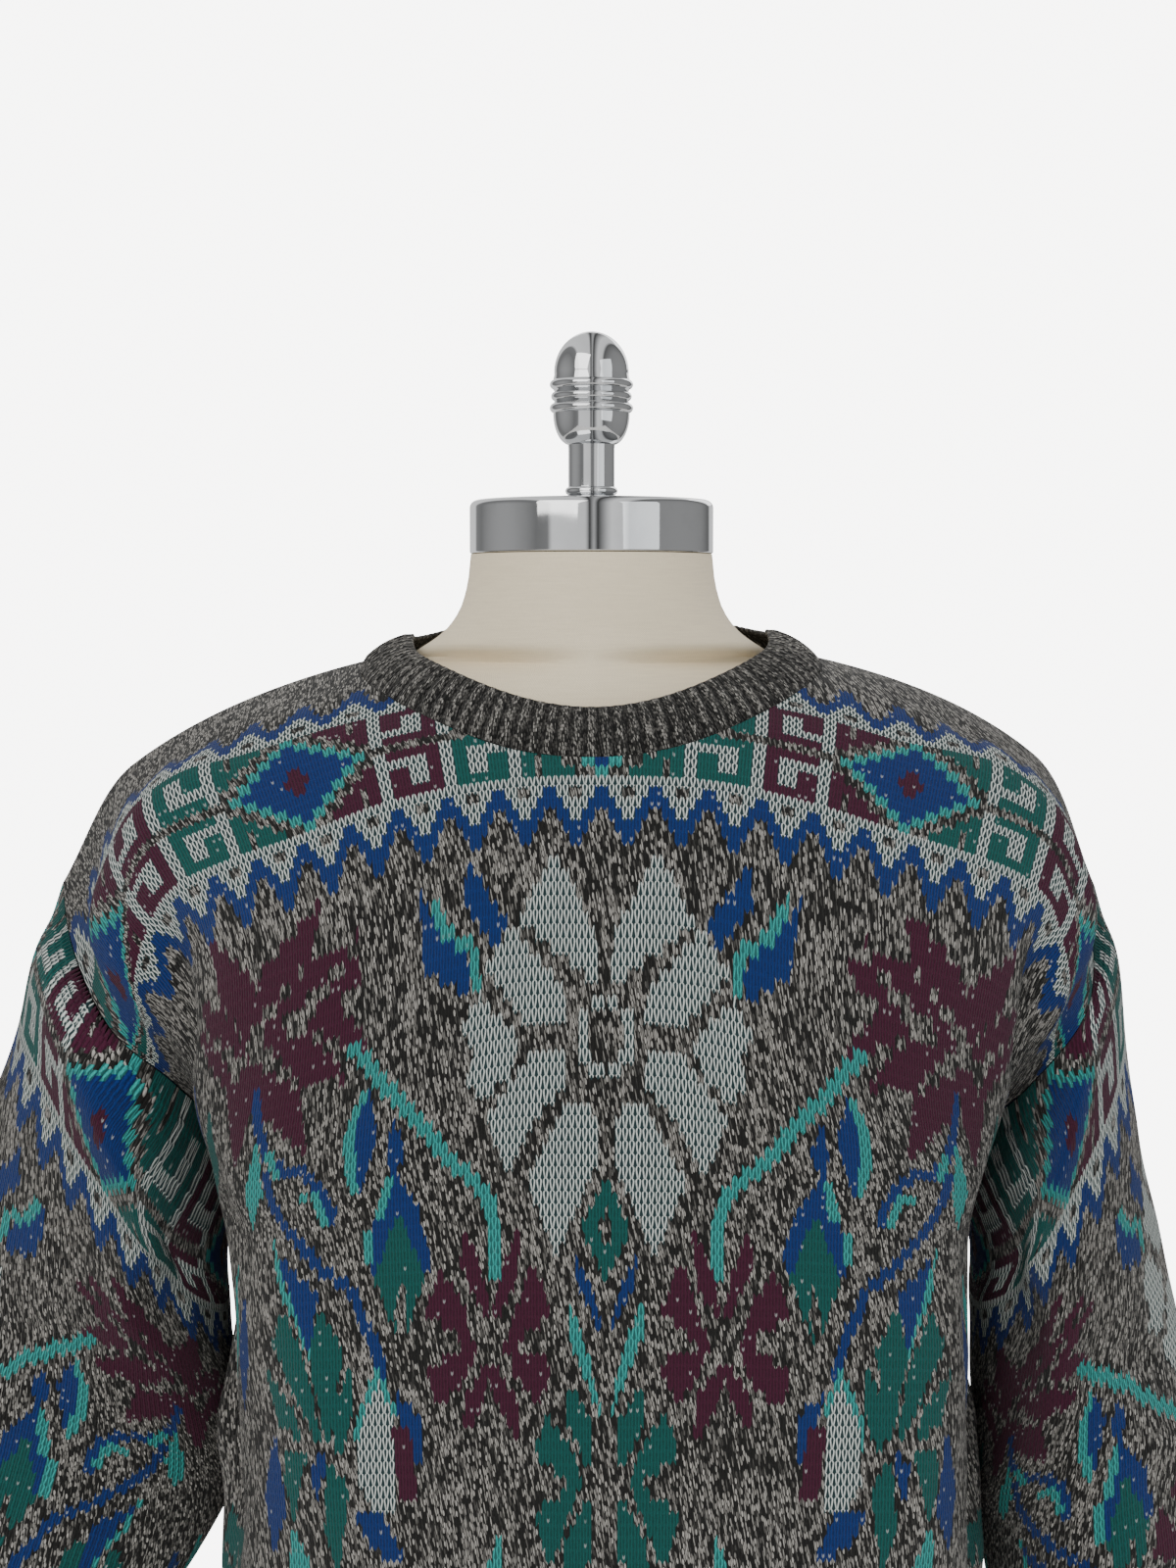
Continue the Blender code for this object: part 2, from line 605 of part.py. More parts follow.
def build_form(material):
    """Limbless trunk with neck, smooth and closed."""
    rings = []
    for row in form_sections():
        at = dict(zip(FORM_COLUMNS, row))
        angle = np.linspace(0.0, 2 * math.pi, FORM_POINTS_ROUND, endpoint=False)
        cos, sin = np.cos(angle), np.sin(angle)
        x = at["half_width"] * np.sign(cos) * np.abs(cos) ** (2 / at["power"])
        depth = np.where(sin < 0, at["front"], at["back"])
        y = at["middle_y"] + depth * np.sign(sin) * np.abs(sin) ** (2 / at["power"])
        rings.append(np.stack([x, y, np.full_like(x, at["z"])], axis=-1))
    mesh = bpy.data.meshes.new("form_body")
    bm = bmesh.new()
    grid = [[bm.verts.new(p) for p in ring] for ring in rings]
    for lower, upper in zip(grid, grid[1:]):
        for j in range(FORM_POINTS_ROUND):
            k = (j + 1) % FORM_POINTS_ROUND
            bm.faces.new((lower[j], lower[k], upper[k], upper[j]))
    bm.faces.new(grid[0][::-1])
    bm.faces.new(grid[-1])
    bm.to_mesh(mesh)
    bm.free()
    mesh.shade_smooth()
    mesh.set_sharp_from_angle(angle=math.radians(50))
    add_object("form_body", mesh, material)


def build_stand(metal):
    """Neck cap, turned finial, pole and base."""
    low = NECK_TOP_Z + PART_GAP
    high = low + CAP_HEIGHT
    cap = [(0.0, high + CAP_CROWN), (0.030, high + 0.0012), (CAP_RADIUS - 0.004, high)]
    cap += arc(CAP_RADIUS - 0.003, high - 0.003, 0.003, 0.003, 75, 0, 4)
    cap += [(CAP_RADIUS, low + 0.001), (CAP_RADIUS - 0.001, low), (0.0, low)]
    turned("neck_cap", cap, metal, 48)
    foot = high + CAP_CROWN + PART_GAP
    tip = foot + FINIAL_HEIGHT
    finial = arc(0.0, tip - 0.020, 0.0185, 0.020, 90, 8, 8)
    for below_tip, ring_radius in FINIAL_RINGS:
        finial += arc(ring_radius - 0.0027, tip - below_tip, 0.0027, 0.0025, 70, -70, 5)
    finial += arc(0.0105, tip - 0.0405, 0.0085, 0.0155, 0, -80, 6)
    finial += [(0.0115, tip - 0.0580), (0.0115, foot + 0.0040)]
    finial += [(0.0132, foot + 0.0015), (0.0132, foot), (0.0, foot)]
    turned("finial", finial, metal, 24)
    pole_top, pole_foot = FORM_BOTTOM_Z - PART_GAP, BASE_HEIGHT + PART_GAP
    pole = [(0.0, pole_top), (FLANGE_RADIUS, pole_top), (FLANGE_RADIUS, pole_top - 0.012)]
    pole += [(POLE_RADIUS, pole_top - 0.020), (POLE_RADIUS, pole_foot + 0.020)]
    pole += [(COLLET_RADIUS, pole_foot + 0.012), (COLLET_RADIUS, pole_foot), (0.0, pole_foot)]
    turned("pole", pole, metal, 24)
    base = [(0.0, BASE_HEIGHT), (0.120, BASE_HEIGHT)]
    base += arc(BASE_RADIUS - 0.012, 0.010, 0.012, 0.007, 60, 0, 5)
    base += [(BASE_RADIUS, 0.003), (BASE_RADIUS - 0.003, 0.0), (0.0, 0.0)]
    turned("base", base, metal, 48)


clear_scene()
PART = bpy.data.collections.new("sweater_on_dress_form")
bpy.context.scene.collection.children.link(PART)


def main():
    """Build every piece."""
    jacquard = finish_material("jacquard_knit", (0.12, 0.12, 0.13), 0.9)
    rib_yarn = finish_material("marl_rib", (0.07, 0.068, 0.065), 0.92)
    linen = finish_material("cream_linen", (0.73, 0.66, 0.55), 0.85)
    chrome = finish_material("polished_chrome", (0.75, 0.76, 0.77), 0.08, 1.0)
    seams = build_panels(jacquard)
    for side in (-1, 1):
        build_sleeve(side, seams[side], jacquard, rib_yarn)
    build_collar(seams["neck"], rib_yarn)
    build_hem(rib_yarn)
    build_form(linen)
    build_stand(chrome)


main()
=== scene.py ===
"""Looks of a stranded knit sweater on a limbless dress form.

The cloth pieces are knitted stitch by stitch on the solids' own form: two faces
for the two legs of every stitch, each with its yarn as an attribute. Rules and
short tables chart the motifs, in stitches and millimetres of cloth.
"""

import math

import bmesh
import bpy
import numpy as np
from bpy.props import FloatProperty, FloatVectorProperty, IntProperty, PointerProperty
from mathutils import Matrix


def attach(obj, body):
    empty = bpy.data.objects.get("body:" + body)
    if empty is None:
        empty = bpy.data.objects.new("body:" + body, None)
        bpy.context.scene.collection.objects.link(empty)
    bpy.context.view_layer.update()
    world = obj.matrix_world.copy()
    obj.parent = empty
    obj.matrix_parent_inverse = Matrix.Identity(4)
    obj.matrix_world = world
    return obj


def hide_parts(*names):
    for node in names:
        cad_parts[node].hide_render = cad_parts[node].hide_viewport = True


bl_info = {
    "name": "Knit sweater on dress form",
    "version": (1, 0, 0),
    "blender": (4, 5, 0),
    "location": "3D View > Sidebar > Sweater",
    "description": "Builds the knitted pieces, the dress form, its stand and the stage",
    "category": "Object",
}

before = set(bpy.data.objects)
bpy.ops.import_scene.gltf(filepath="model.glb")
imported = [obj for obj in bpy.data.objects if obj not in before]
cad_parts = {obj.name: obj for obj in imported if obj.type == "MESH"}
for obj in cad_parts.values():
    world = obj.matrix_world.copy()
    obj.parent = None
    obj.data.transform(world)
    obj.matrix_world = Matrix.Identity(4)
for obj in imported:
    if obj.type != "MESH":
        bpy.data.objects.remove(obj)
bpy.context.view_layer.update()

# Sizes of the cloth in metres, as in the solids; the ribs are finer than theirs
WALL = 0.0022
HALF_WIDTH = 0.305
NECK_HALF = 0.112
NECK_DROP_FRONT = 0.128
NECK_DROP_BACK = 0.066
RIDGE_T = 0.100
ARMPIT_T = -0.200
HEM_T = -0.545
RIDGE_Y = 0.012
BACK_DEPTH = 0.90
COLLAR_HEIGHT = 0.028
COLLAR_RIBS = 104
HEM_HEIGHT = 0.065
HEM_RIBS = 168
CUFF_HEIGHT = 0.065
CUFF_RIBS = 44
HEM_DRAW = 0.91
CUFF_DRAW = 0.70
COLLAR_LEAN_FRONT = 0.62
COLLAR_LEAN_BACK = 0.42
COLLAR_LEAN_SIDE = 0.88
SEAM_INSET = 0.00015
SEAM_GAP = 0.0002
SLEEVE_BAND_V = 0.030
RIB_RISE = 0.0013
RIB_STEPS = 6
ROLL_STEPS = 6
CUFF_POINTS = 192
CUFF_LEAD = 0.044
# No further stitch is worked for less than this share of one
LEAST_REST = 0.3

# t, front middle y and z, corner x, y, z, edge x, y, z
LEFT_SECTIONS = (
    (-0.545, -0.142, 0.845, 0.152, -0.118, 0.845, 0.178, 0.000, 0.840),
    (-0.400, -0.145, 0.990, 0.150, -0.121, 0.988, 0.172, 0.000, 0.975),
    (-0.290, -0.150, 1.100, 0.152, -0.122, 1.090, 0.169, 0.000, 1.060),
    (-0.228, -0.153, 1.162, 0.160, -0.120, 1.143, 0.169, 0.000, 1.124),
    (-0.200, -0.153, 1.190, 0.165, -0.117, 1.160, 0.174, 0.000, 1.150),
    (-0.130, -0.152, 1.264, 0.178, -0.113, 1.207, 0.184, -0.032, 1.179),
    (-0.066, -0.142, 1.332, 0.189, -0.112, 1.266, 0.200, -0.068, 1.206),
    (0.000, -0.100, 1.383, 0.213, -0.082, 1.332, 0.228, -0.082, 1.234),
    (0.066, -0.036, 1.414, 0.224, -0.026, 1.346, 0.257, -0.026, 1.273),
    (0.100, 0.012, 1.420, 0.231, 0.012, 1.354, 0.267, 0.012, 1.294),
)
RIGHT_SECTIONS = (
    (-0.545, -0.142, 0.845, 0.162, -0.118, 0.845, 0.190, 0.000, 0.840),
    (-0.400, -0.145, 0.990, 0.162, -0.121, 0.988, 0.186, 0.000, 0.975),
    (-0.290, -0.150, 1.100, 0.162, -0.122, 1.090, 0.182, 0.000, 1.060),
    (-0.228, -0.153, 1.162, 0.166, -0.120, 1.143, 0.177, 0.000, 1.124),
    (-0.200, -0.153, 1.190, 0.172, -0.117, 1.160, 0.181, 0.000, 1.150),
    (-0.130, -0.152, 1.264, 0.186, -0.113, 1.207, 0.191, -0.032, 1.178),
    (-0.066, -0.142, 1.332, 0.203, -0.111, 1.266, 0.209, -0.066, 1.203),
    (0.000, -0.100, 1.383, 0.219, -0.078, 1.332, 0.234, -0.080, 1.240),
    (0.066, -0.036, 1.414, 0.220, -0.026, 1.352, 0.247, -0.026, 1.272),
    (0.100, 0.012, 1.420, 0.223, 0.012, 1.359, 0.254, 0.012, 1.293),
)

# v, outer fold x and z, inner fold x and z, front y, back y
LEFT_SLEEVE = (
    (0.020, 0.2710, 1.275, 0.1830, 1.126, -0.090, 0.088),
    (0.070, 0.2850, 1.229, 0.1830, 1.080, -0.080, 0.074),
    (0.150, 0.3130, 1.154, 0.1780, 1.030, -0.060, 0.050),
    (0.270, 0.3550, 1.042, 0.1880, 0.975, -0.042, 0.036),
    (0.360, 0.3870, 0.957, 0.2380, 0.902, -0.036, 0.034),
    (0.440, 0.4150, 0.882, 0.3020, 0.841, -0.034, 0.034),
)
RIGHT_SLEEVE = (
    (0.020, 0.2570, 1.274, 0.1905, 1.126, -0.092, 0.090),
    (0.070, 0.265, 1.222, 0.192, 1.082, -0.088, 0.084),
    (0.150, 0.279, 1.145, 0.193, 1.025, -0.080, 0.068),
    (0.270, 0.306, 1.028, 0.197, 0.965, -0.070, 0.062),
    (0.360, 0.326, 0.940, 0.212, 0.890, -0.058, 0.052),
    (0.440, 0.344, 0.862, 0.234, 0.835, -0.038, 0.038),
)

# s0, t0, s1, t1, width, depth: ridges and troughs of the body's cloth
LEFT_FOLDS = (
    (0.222, -0.025, 0.250, -0.120, 0.018, -0.010),
    (0.262, 0.045, 0.275, -0.070, 0.022, 0.008),
    (0.262, -0.235, 0.225, -0.420, 0.020, -0.012),
    (0.170, -0.215, 0.120, -0.400, 0.026, 0.005),
    (0.282, -0.250, 0.265, -0.500, 0.014, 0.010),
    (0.215, -0.150, 0.160, -0.300, 0.012, -0.003),
    (0.050, -0.060, 0.110, -0.200, 0.022, 0.002),
    (0.190, 0.070, 0.150, -0.020, 0.014, -0.0025),
    (0.282, -0.215, 0.282, -0.395, 0.016, 0.008),
)
RIGHT_FOLDS = (
    (0.232, -0.030, 0.255, -0.120, 0.018, -0.010),
    (0.262, 0.040, 0.272, -0.075, 0.022, 0.007),
    (0.256, -0.235, 0.235, -0.440, 0.022, -0.012),
    (0.185, -0.220, 0.150, -0.430, 0.026, 0.005),
    (0.284, -0.260, 0.268, -0.480, 0.014, 0.009),
    (0.225, -0.160, 0.185, -0.320, 0.013, -0.003),
    (0.070, -0.080, 0.120, -0.210, 0.020, 0.002),
    (0.180, 0.075, 0.160, -0.010, 0.014, -0.0025),
)

# c0, v0, c1, v1, width, depth: the sleeves' folds, c round from the outer fold
SLEEVE_FOLDS = (
    (0.240, 0.010, 0.150, 0.130, 0.016, -0.006),
    (0.200, 0.020, 0.120, 0.160, 0.014, 0.004),
    (0.150, 0.150, 0.040, 0.230, 0.012, -0.004),
    (0.110, 0.220, 0.020, 0.300, 0.012, 0.004),
    (0.120, 0.300, 0.030, 0.360, 0.010, -0.005),
    (0.090, 0.350, 0.010, 0.400, 0.010, 0.005),
    (-0.240, 0.010, -0.150, 0.120, 0.016, -0.006),
    (-0.150, 0.140, -0.050, 0.220, 0.012, -0.004),
    (-0.120, 0.260, -0.030, 0.330, 0.011, 0.004),
    (-0.100, 0.340, -0.020, 0.390, 0.010, -0.005),
)

# z, half width, front, back, middle y, power of the section
FORM_SECTIONS = (
    (0.735, 0.134, 0.086, 0.084, 0.006, 2.3),
    (0.745, 0.143, 0.095, 0.093, 0.006, 2.3),
    (0.830, 0.146, 0.100, 0.098, 0.006, 2.3),
    (0.960, 0.136, 0.098, 0.094, 0.008, 2.3),
    (1.060, 0.144, 0.108, 0.104, 0.008, 2.4),
    (1.160, 0.156, 0.126, 0.118, 0.006, 2.4),
    (1.230, 0.163, 0.126, 0.122, 0.006, 2.4),
    (1.290, 0.172, 0.118, 0.120, 0.008, 2.2),
    (1.330, 0.184, 0.110, 0.104, 0.012, 1.75),
)
NECK_SECTIONS = (
    (1.4135, 0.0840, 0.0700, 0.0620, 0.004, 1.70),
    (1.4200, 0.0745, 0.0655, 0.0610, 0.002, 1.90),
    (1.4290, 0.0670, 0.0620, 0.0600, 0.000, 2.0),
    (1.4420, 0.0622, 0.0610, 0.0610, 0.000, 2.0),
    (1.4590, 0.0600, 0.0600, 0.0600, 0.000, 2.0),
)
SHOULDER_STATIONS = 8
SHOULDER_TIP_X = 0.197
SHOULDER_ROOT_X = 0.100
SHOULDER_ROOT_FRONT = 0.0800
SHOULDER_ROOT_BACK = 0.0570
SHOULDER_INSET = 0.012
FORM_GAP = 0.0012
FORM_FOOT_Z = 0.735
NECK_TOP_Z = 1.459

# The stand's stack, in metres
STACK_GAP = 0.0003
CAP_RADIUS = 0.0605
CAP_HEIGHT = 0.0265
CAP_CROWN = 0.0015
FINIAL_HEIGHT = 0.0815
FLANGE_RADIUS = 0.032
POLE_RADIUS = 0.018
COLLET_RADIUS = 0.030
BASE_RADIUS = 0.200
BASE_HEIGHT = 0.020

# Stage, in metres and degrees
FLOOR_REACH = 2.4
LIGHT_TARGET = (0.0, 0.0, 1.2)
CAMERA_PLACE = (0.0, -1.41, 1.426)
CAMERA_TILT = 3.3
CAMERA_VIEW = 31.0

# Levels seen by the metal, from left to right round the room
ROOM_LEVELS = (
    (0.0, 0.42), (0.10, 0.22), (0.17, 0.26), (0.20, 1.0), (0.45, 0.92), (0.485, 0.03),
    (0.52, 0.55), (0.55, 0.05), (0.60, 0.40), (0.66, 1.0), (0.75, 0.90), (0.79, 0.14),
    (0.90, 0.30), (1.0, 0.34),
)

# Yarns, by their number in the charts
MARL, WHITE, WINE, BLUE, GREEN, AQUA = range(6)

# The band, in stitches and courses
BASE_COURSE = 6
TOOTH_WALES = 8
REPEAT_WALES = 46
DIAMOND_WALES = 11
CENTRE_WALE = 102
CENTRE_LINE = 0.0064
BAND_COURSES = 9.5
LOW_COURSES = 85
TOP_COURSES = 10

# Distance from the middle, then the lower tooth tips, the band's middle and the
# upper tooth tips, in millimetres of cloth
BAND_LINES = (
    (0, -60, -6.5, 47), (50, -57.5, -10, 35), (100, -58.5, -17, 22), (145, -59, -23.5, 17),
    (180, -56, -20, 34), (210, -52, -14, 38), (240, -50, -14, 45), (270, -48, -20, 58),
    (305, -48, -22, 62),
)

# Motifs below the band, in wales from the centre line and courses: yarn, half
# thickness in wales, points. Without a thickness the points are a patch's corners,
# with one a stroke passes them. Each is worked on both sides of the centre line.
MOTIFS = (
    # White star
    (WHITE, 0, ((8, -13), (13.5, -17.5), (1, -22.5), (1.5, -19))),
    (WHITE, 0, ((15, -18), (19, -20.5), (12, -25), (6, -25), (7, -22.5))),
    (WHITE, 0, ((20, -22.5), (22.5, -24.5), (20, -27), (13.5, -26))),
    (WHITE, 0, ((13.5, -26), (20, -27), (22, -28), (19, -30), (15, -28.5))),
    (WHITE, 0, ((6.5, -27.5), (12, -27.5), (18, -31.5), (15, -36), (10.5, -32), (6, -29.5))),
    (WHITE, 0, ((5.5, -31), (1.5, -32), (1.5, -36), (3.5, -38), (7.5, -43), (12, -37))),
    (WHITE, 0.8, ((1, -24), (3.5, -24.5), (3.5, -27.5), (1, -29))),
    # Leaves beside it
    (BLUE, 0, ((22, -13), (22.5, -15.5), (17.5, -19), (16, -17.5))),
    (BLUE, 0, ((30, -14.5), (29, -19.5), (22, -22), (21.5, -20), (28, -16.5))),
    (AQUA, 0.8, ((28, -15), (25.5, -17.5), (21, -19), (20.5, -21.5))),
    # Upper wine star
    (WINE, 0, ((47.5, -13), (50, -16), (62.5, -19), (58, -15.5))),
    (WINE, 0, ((68.5, -11.5), (60.5, -16), (61.5, -19), (67, -16))),
    (WINE, 0, ((41, -16), (50.5, -17), (58.5, -20), (48, -18))),
    (WINE, 0, ((38.5, -18), (43, -18), (49, -20.5), (44, -19.5))),
    (WINE, 0, ((49, -20.5), (44, -20.5), (39, -23.5), (45, -22))),
    (WINE, 0, ((58, -20), (48.5, -22), (42.5, -25.5), (50, -24.5))),
    (WINE, 0, ((61.5, -21.5), (50.5, -25.5), (48, -30.5), (57, -26))),
    (WINE, 0, ((61.5, -21.5), (60, -24.5), (62, -30), (65, -24))),
    (WINE, 0, ((72.5, -15), (66, -17.5), (62.5, -20.5), (70, -17.5))),
    (WINE, 0, ((73.5, -17), (67, -20.5), (64.5, -23.5), (70.5, -19.5))),
    # Arch and its leaves
    (AQUA, 1, ((41, -23.5), (37.5, -25.5), (32.5, -28.5), (28.5, -31), (24.5, -34), (21, -36),
               (18, -38), (17, -40.5), (17, -44.5))),
    (AQUA, 0, ((38, -27), (40, -28.5), (41, -31), (40, -34.5), (38.5, -36.5))),
    (BLUE, 0, ((37.5, -27.5), (39, -30), (38, -36), (35.5, -31))),
    (BLUE, 0, ((33, -30), (31, -33), (33, -35), (33.5, -32.5))),
    # Drop
    (BLUE, 0, ((32, -49.5), (27, -43), (29, -38.5), (32.5, -35), (35.5, -38.5), (37, -43))),
    (GREEN, 0, ((32, -49.5), (28.5, -44.5), (32, -39), (35.5, -44.5))),
    (MARL, 0, ((32, -50.5), (31, -47.5), (31.5, -44.5), (33, -47.5))),
    (AQUA, 0.8, ((33.5, -35.5), (35, -39))),
    (AQUA, 0.8, ((37, -40.5), (37, -43))),
    # Vines
    (BLUE, 0.8, ((59, -24.5), (57.5, -27.5), (55, -30.5), (51, -32.5), (47.5, -33), (44.5, -35),
                 (42.5, -37.5), (43, -39))),
    (BLUE, 0.8, ((55, -32), (53, -36), (51, -38.5), (49, -40), (47, -41.5), (44, -43.5), (41.5, -44.5),
                 (39.5, -45.5), (38.5, -47.5), (37, -49), (36, -50.5), (35, -53))),
    (AQUA, 0, ((57.5, -28.5), (59, -34), (58, -38.5), (55.5, -34.5))),
    (AQUA, 0.7, ((55, -30), (53, -32.5))),
    (AQUA, 0.7, ((49, -35), (47, -35.5))),
    (AQUA, 0.7, ((45.5, -35.5), (44, -38.5))),
    (BLUE, 0, ((51.5, -42), (45.5, -45.5), (47, -50.5), (49, -46.5))),
    (AQUA, 0, ((53, -40.5), (51, -45.5), (49, -47.5), (47, -50.5))),
    # Green star
    (GREEN, 0, ((51, -47), (53, -49.5), (45.5, -58), (47.5, -52))),
    (GREEN, 0, ((54.5, -52.5), (52.5, -56.5), (49, -57.5), (50, -55.5))),
    (GREEN, 0, ((45, -47), (46.5, -51), (44, -57.5), (42, -50.5))),
    (GREEN, 0, ((40.5, -52.5), (43, -55.5), (42.5, -59), (40.5, -56))),
    (GREEN, 0, ((51.5, -59), (48, -59), (51, -64.5), (52, -61.5))),
    (GREEN, 0, ((44, -60), (41.5, -62), (43.5, -68.5), (45, -65.5))),
    (BLUE, 0, ((45, -59), (47, -60.5), (46.5, -63), (45, -60.5))),
    # Leaf drop
    (AQUA, 0, ((36, -52), (40, -57), (39, -60), (33.5, -55.5))),
    (WHITE, 0, ((36, -53.5), (39, -57), (39.5, -61.5), (36.5, -64.5), (34, -64), (34, -56))),
    (BLUE, 0, ((33, -54.5), (29.5, -56), (29.5, -59.5), (31.5, -59.5))),
    (WINE, 0, ((33.5, -57), (31.5, -57), (30.5, -63), (32.5, -62.5))),
    (BLUE, 0, ((40.5, -64), (35.5, -64.5), (32.5, -68), (37.5, -67))),
    # Lower wine star
    (WINE, 0, ((21.5, -41.5), (22, -43.5), (18.5, -47.5), (19.5, -44.5))),
    (WINE, 0, ((25.5, -44.5), (27.5, -47.5), (21.5, -49.5), (22.5, -47))),
    (WINE, 0, ((13.5, -41.5), (15.5, -44), (17, -47.5), (14.5, -45.5))),
    (WINE, 0, ((11.5, -44), (13, -47), (15.5, -50.5), (9, -47.5))),
    (WINE, 0, ((20.5, -50), (27.5, -52.5), (26.5, -55), (22.5, -53))),
    (WINE, 0, ((14.5, -50.5), (8.5, -52), (11, -54.5), (14, -52.5))),
    (WINE, 0, ((18.5, -52), (21.5, -54.5), (22, -57), (20, -55))),
    (WINE, 0, ((18, -52), (14.5, -54.5), (14, -57.5), (17, -54.5))),
    # Open diamond and the vees under it
    (GREEN, 0, ((0, -37.5), (3.5, -41), (0, -44.5), (-3.5, -41))),
    (MARL, 0, ((0, -39.5), (1.5, -41), (0, -42.5), (-1.5, -41))),
    (BLUE, 0, ((4.5, -43.5), (4, -45.5), (0.5, -49.5), (2.5, -45.5))),
    (AQUA, 0, ((5.5, -47), (5.5, -49.5), (1, -55.5), (2.5, -51.5))),
    # Middle green star
    (GREEN, 0, ((5.5, -54), (5.5, -56.5), (2.5, -60), (2.5, -56.5))),
    (GREEN, 0, ((9, -56.5), (11, -59), (4, -62), (5.5, -59))),
    (GREEN, 0, ((4.5, -62), (11, -64), (9, -68), (6, -64))),
    (GREEN, 0, ((2.5, -63), (6, -66.5), (6.5, -70.5), (2.5, -67.5))),
    # Leaves at the sides and near the hem
    (GREEN, 0, ((73, -35), (69, -30), (70.5, -24.5), (74.5, -30))),
    (BLUE, 0, ((78, -31.5), (75.5, -27), (76.5, -21), (79, -27))),
    (BLUE, 0, ((64.5, -55.5), (60.5, -51), (61.5, -45.5), (65.5, -50))),
    (AQUA, 0, ((68.5, -52), (65.5, -48), (65, -43), (68, -47.5))),
    (AQUA, 0, ((50, -72), (48.5, -69), (51.5, -65.5), (52.5, -69))),
    (BLUE, 0, ((56, -68), (52.5, -64), (54, -57.5), (57.5, -63))),
    (BLUE, 0, ((34.5, -78), (31, -74), (32.5, -69), (36.5, -74))),
    (AQUA, 0, ((20, -75), (17, -71), (17, -66), (20, -70))),
    (BLUE, 0, ((14.5, -78), (14, -73.5), (19.5, -68.5), (19, -73.5))),
    (WHITE, 0, ((3.5, -84), (1.5, -79), (7.5, -73.5), (9, -79))),
    (AQUA, 0, ((62, -80), (59, -76), (61, -71), (64, -75.5))),
    (WHITE, 0, ((70, -86), (67, -81), (69.5, -75), (72.5, -80.5))),
)

# Thickness in wales by which each yarn's patches spread over their corners
PATCH_RIM = {MARL: 0.0, WHITE: 0.2, WINE: 0.55, BLUE: 0.2, GREEN: 0.45, AQUA: 0.2}

# Stars near the hem and the side seams: yarn, centre x, y, half width in wales, half
# height in courses, petal's half width in wales
STARS = (
    (WHITE, 84, -46, 10, 8.5, 3.0),
    (GREEN, 84.5, -74, 10, 7.5, 2.8),
    (WINE, 49, -83, 10, 6.5, 2.8),
    (WINE, 24.5, -85, 8.5, 6, 2.4),
)


class YarnSettings(bpy.types.PropertyGroup):
    """Gauge and yarn colours."""
    wale: FloatProperty(name="Wale", description="Width of a stitch", default=0.003035,
                        min=0.002, max=0.006, unit="LENGTH")
    course: FloatProperty(name="Course", description="Height of a stitch", default=0.00575,
                          min=0.003, max=0.009, unit="LENGTH")
    vee: FloatProperty(name="Vee", description="Drop of a stitch's middle, in courses",
                       default=0.42, min=0.0, max=0.6, subtype="FACTOR")
    pale: FloatVectorProperty(name="Marl, pale ply", description="Pale ply of the marl yarn",
                              default=(0.50, 0.48, 0.445), subtype="COLOR", min=0, max=1)
    dark: FloatVectorProperty(name="Marl, dark ply", description="Dark ply of the marl yarn",
                              default=(0.011, 0.011, 0.010), subtype="COLOR", min=0, max=1)
    white: FloatVectorProperty(name="White", description="White yarn",
                               default=(0.72, 0.77, 0.74), subtype="COLOR", min=0, max=1)
    wine: FloatVectorProperty(name="Wine", description="Wine yarn",
                              default=(0.062, 0.007, 0.028), subtype="COLOR", min=0, max=1)
    blue: FloatVectorProperty(name="Blue", description="Blue yarn",
                              default=(0.004, 0.030, 0.165), subtype="COLOR", min=0, max=1)
    green: FloatVectorProperty(name="Green", description="Green yarn",
                               default=(0.002, 0.095, 0.085), subtype="COLOR", min=0, max=1)
    aqua: FloatVectorProperty(name="Aqua", description="Aqua yarn",
                              default=(0.030, 0.400, 0.370), subtype="COLOR", min=0, max=1)


class FormSettings(bpy.types.PropertyGroup):
    """Colours of the dress form and its stand."""
    linen: FloatVectorProperty(name="Linen", description="Cloth of the dress form",
                               default=(0.96, 0.83, 0.61), subtype="COLOR", min=0, max=1)
    metal: FloatVectorProperty(name="Metal", description="Polished metal",
                               default=(0.70, 0.71, 0.72), subtype="COLOR", min=0, max=1)
    segments: IntProperty(name="Segments", description="Steps round the turned parts",
                          default=128, min=32, max=256)


class StageSettings(bpy.types.PropertyGroup):
    """Backdrop, floor and lights."""
    backdrop: FloatVectorProperty(name="Backdrop", description="Colour behind the sweater",
                                  default=(0.92, 0.91, 0.895), subtype="COLOR", min=0, max=1)
    key: FloatProperty(name="Key light", description="Strength of the large soft light",
                       default=48.0, min=0.0, unit="POWER")
    fill: FloatProperty(name="Fill light", description="Strength of the second light",
                        default=18.0, min=0.0, unit="POWER")


# Shape of the cloth


def spline(table, at):
    """Smooth curve through a table's rows; the first column is the place."""
    rows = np.asarray(table, dtype=float)
    place, value = rows[:, 0], rows[:, 1:]
    slope = np.gradient(value, place, axis=0)
    at = np.clip(np.atleast_1d(np.asarray(at, dtype=float)), place[0], place[-1])
    k = np.clip(np.searchsorted(place, at, side="right") - 1, 0, len(place) - 2)
    span = place[k + 1] - place[k]
    u = ((at - place[k]) / span)[:, None]
    span = span[:, None]
    return ((2 * u**3 - 3 * u**2 + 1) * value[k] + (u**3 - 2 * u**2 + u) * span * slope[k]
            + (3 * u**2 - 2 * u**3) * value[k + 1] + (u**3 - u**2) * span * slope[k + 1])


def unit(vector):
    """Vectors of length one along the last axis."""
    length = np.linalg.norm(vector, axis=-1, keepdims=True)
    return vector / np.maximum(length, 1e-12)


def smooth(value):
    """Ease from 0 to 1."""
    value = np.clip(value, 0.0, 1.0)
    return value * value * (3 - 2 * value)


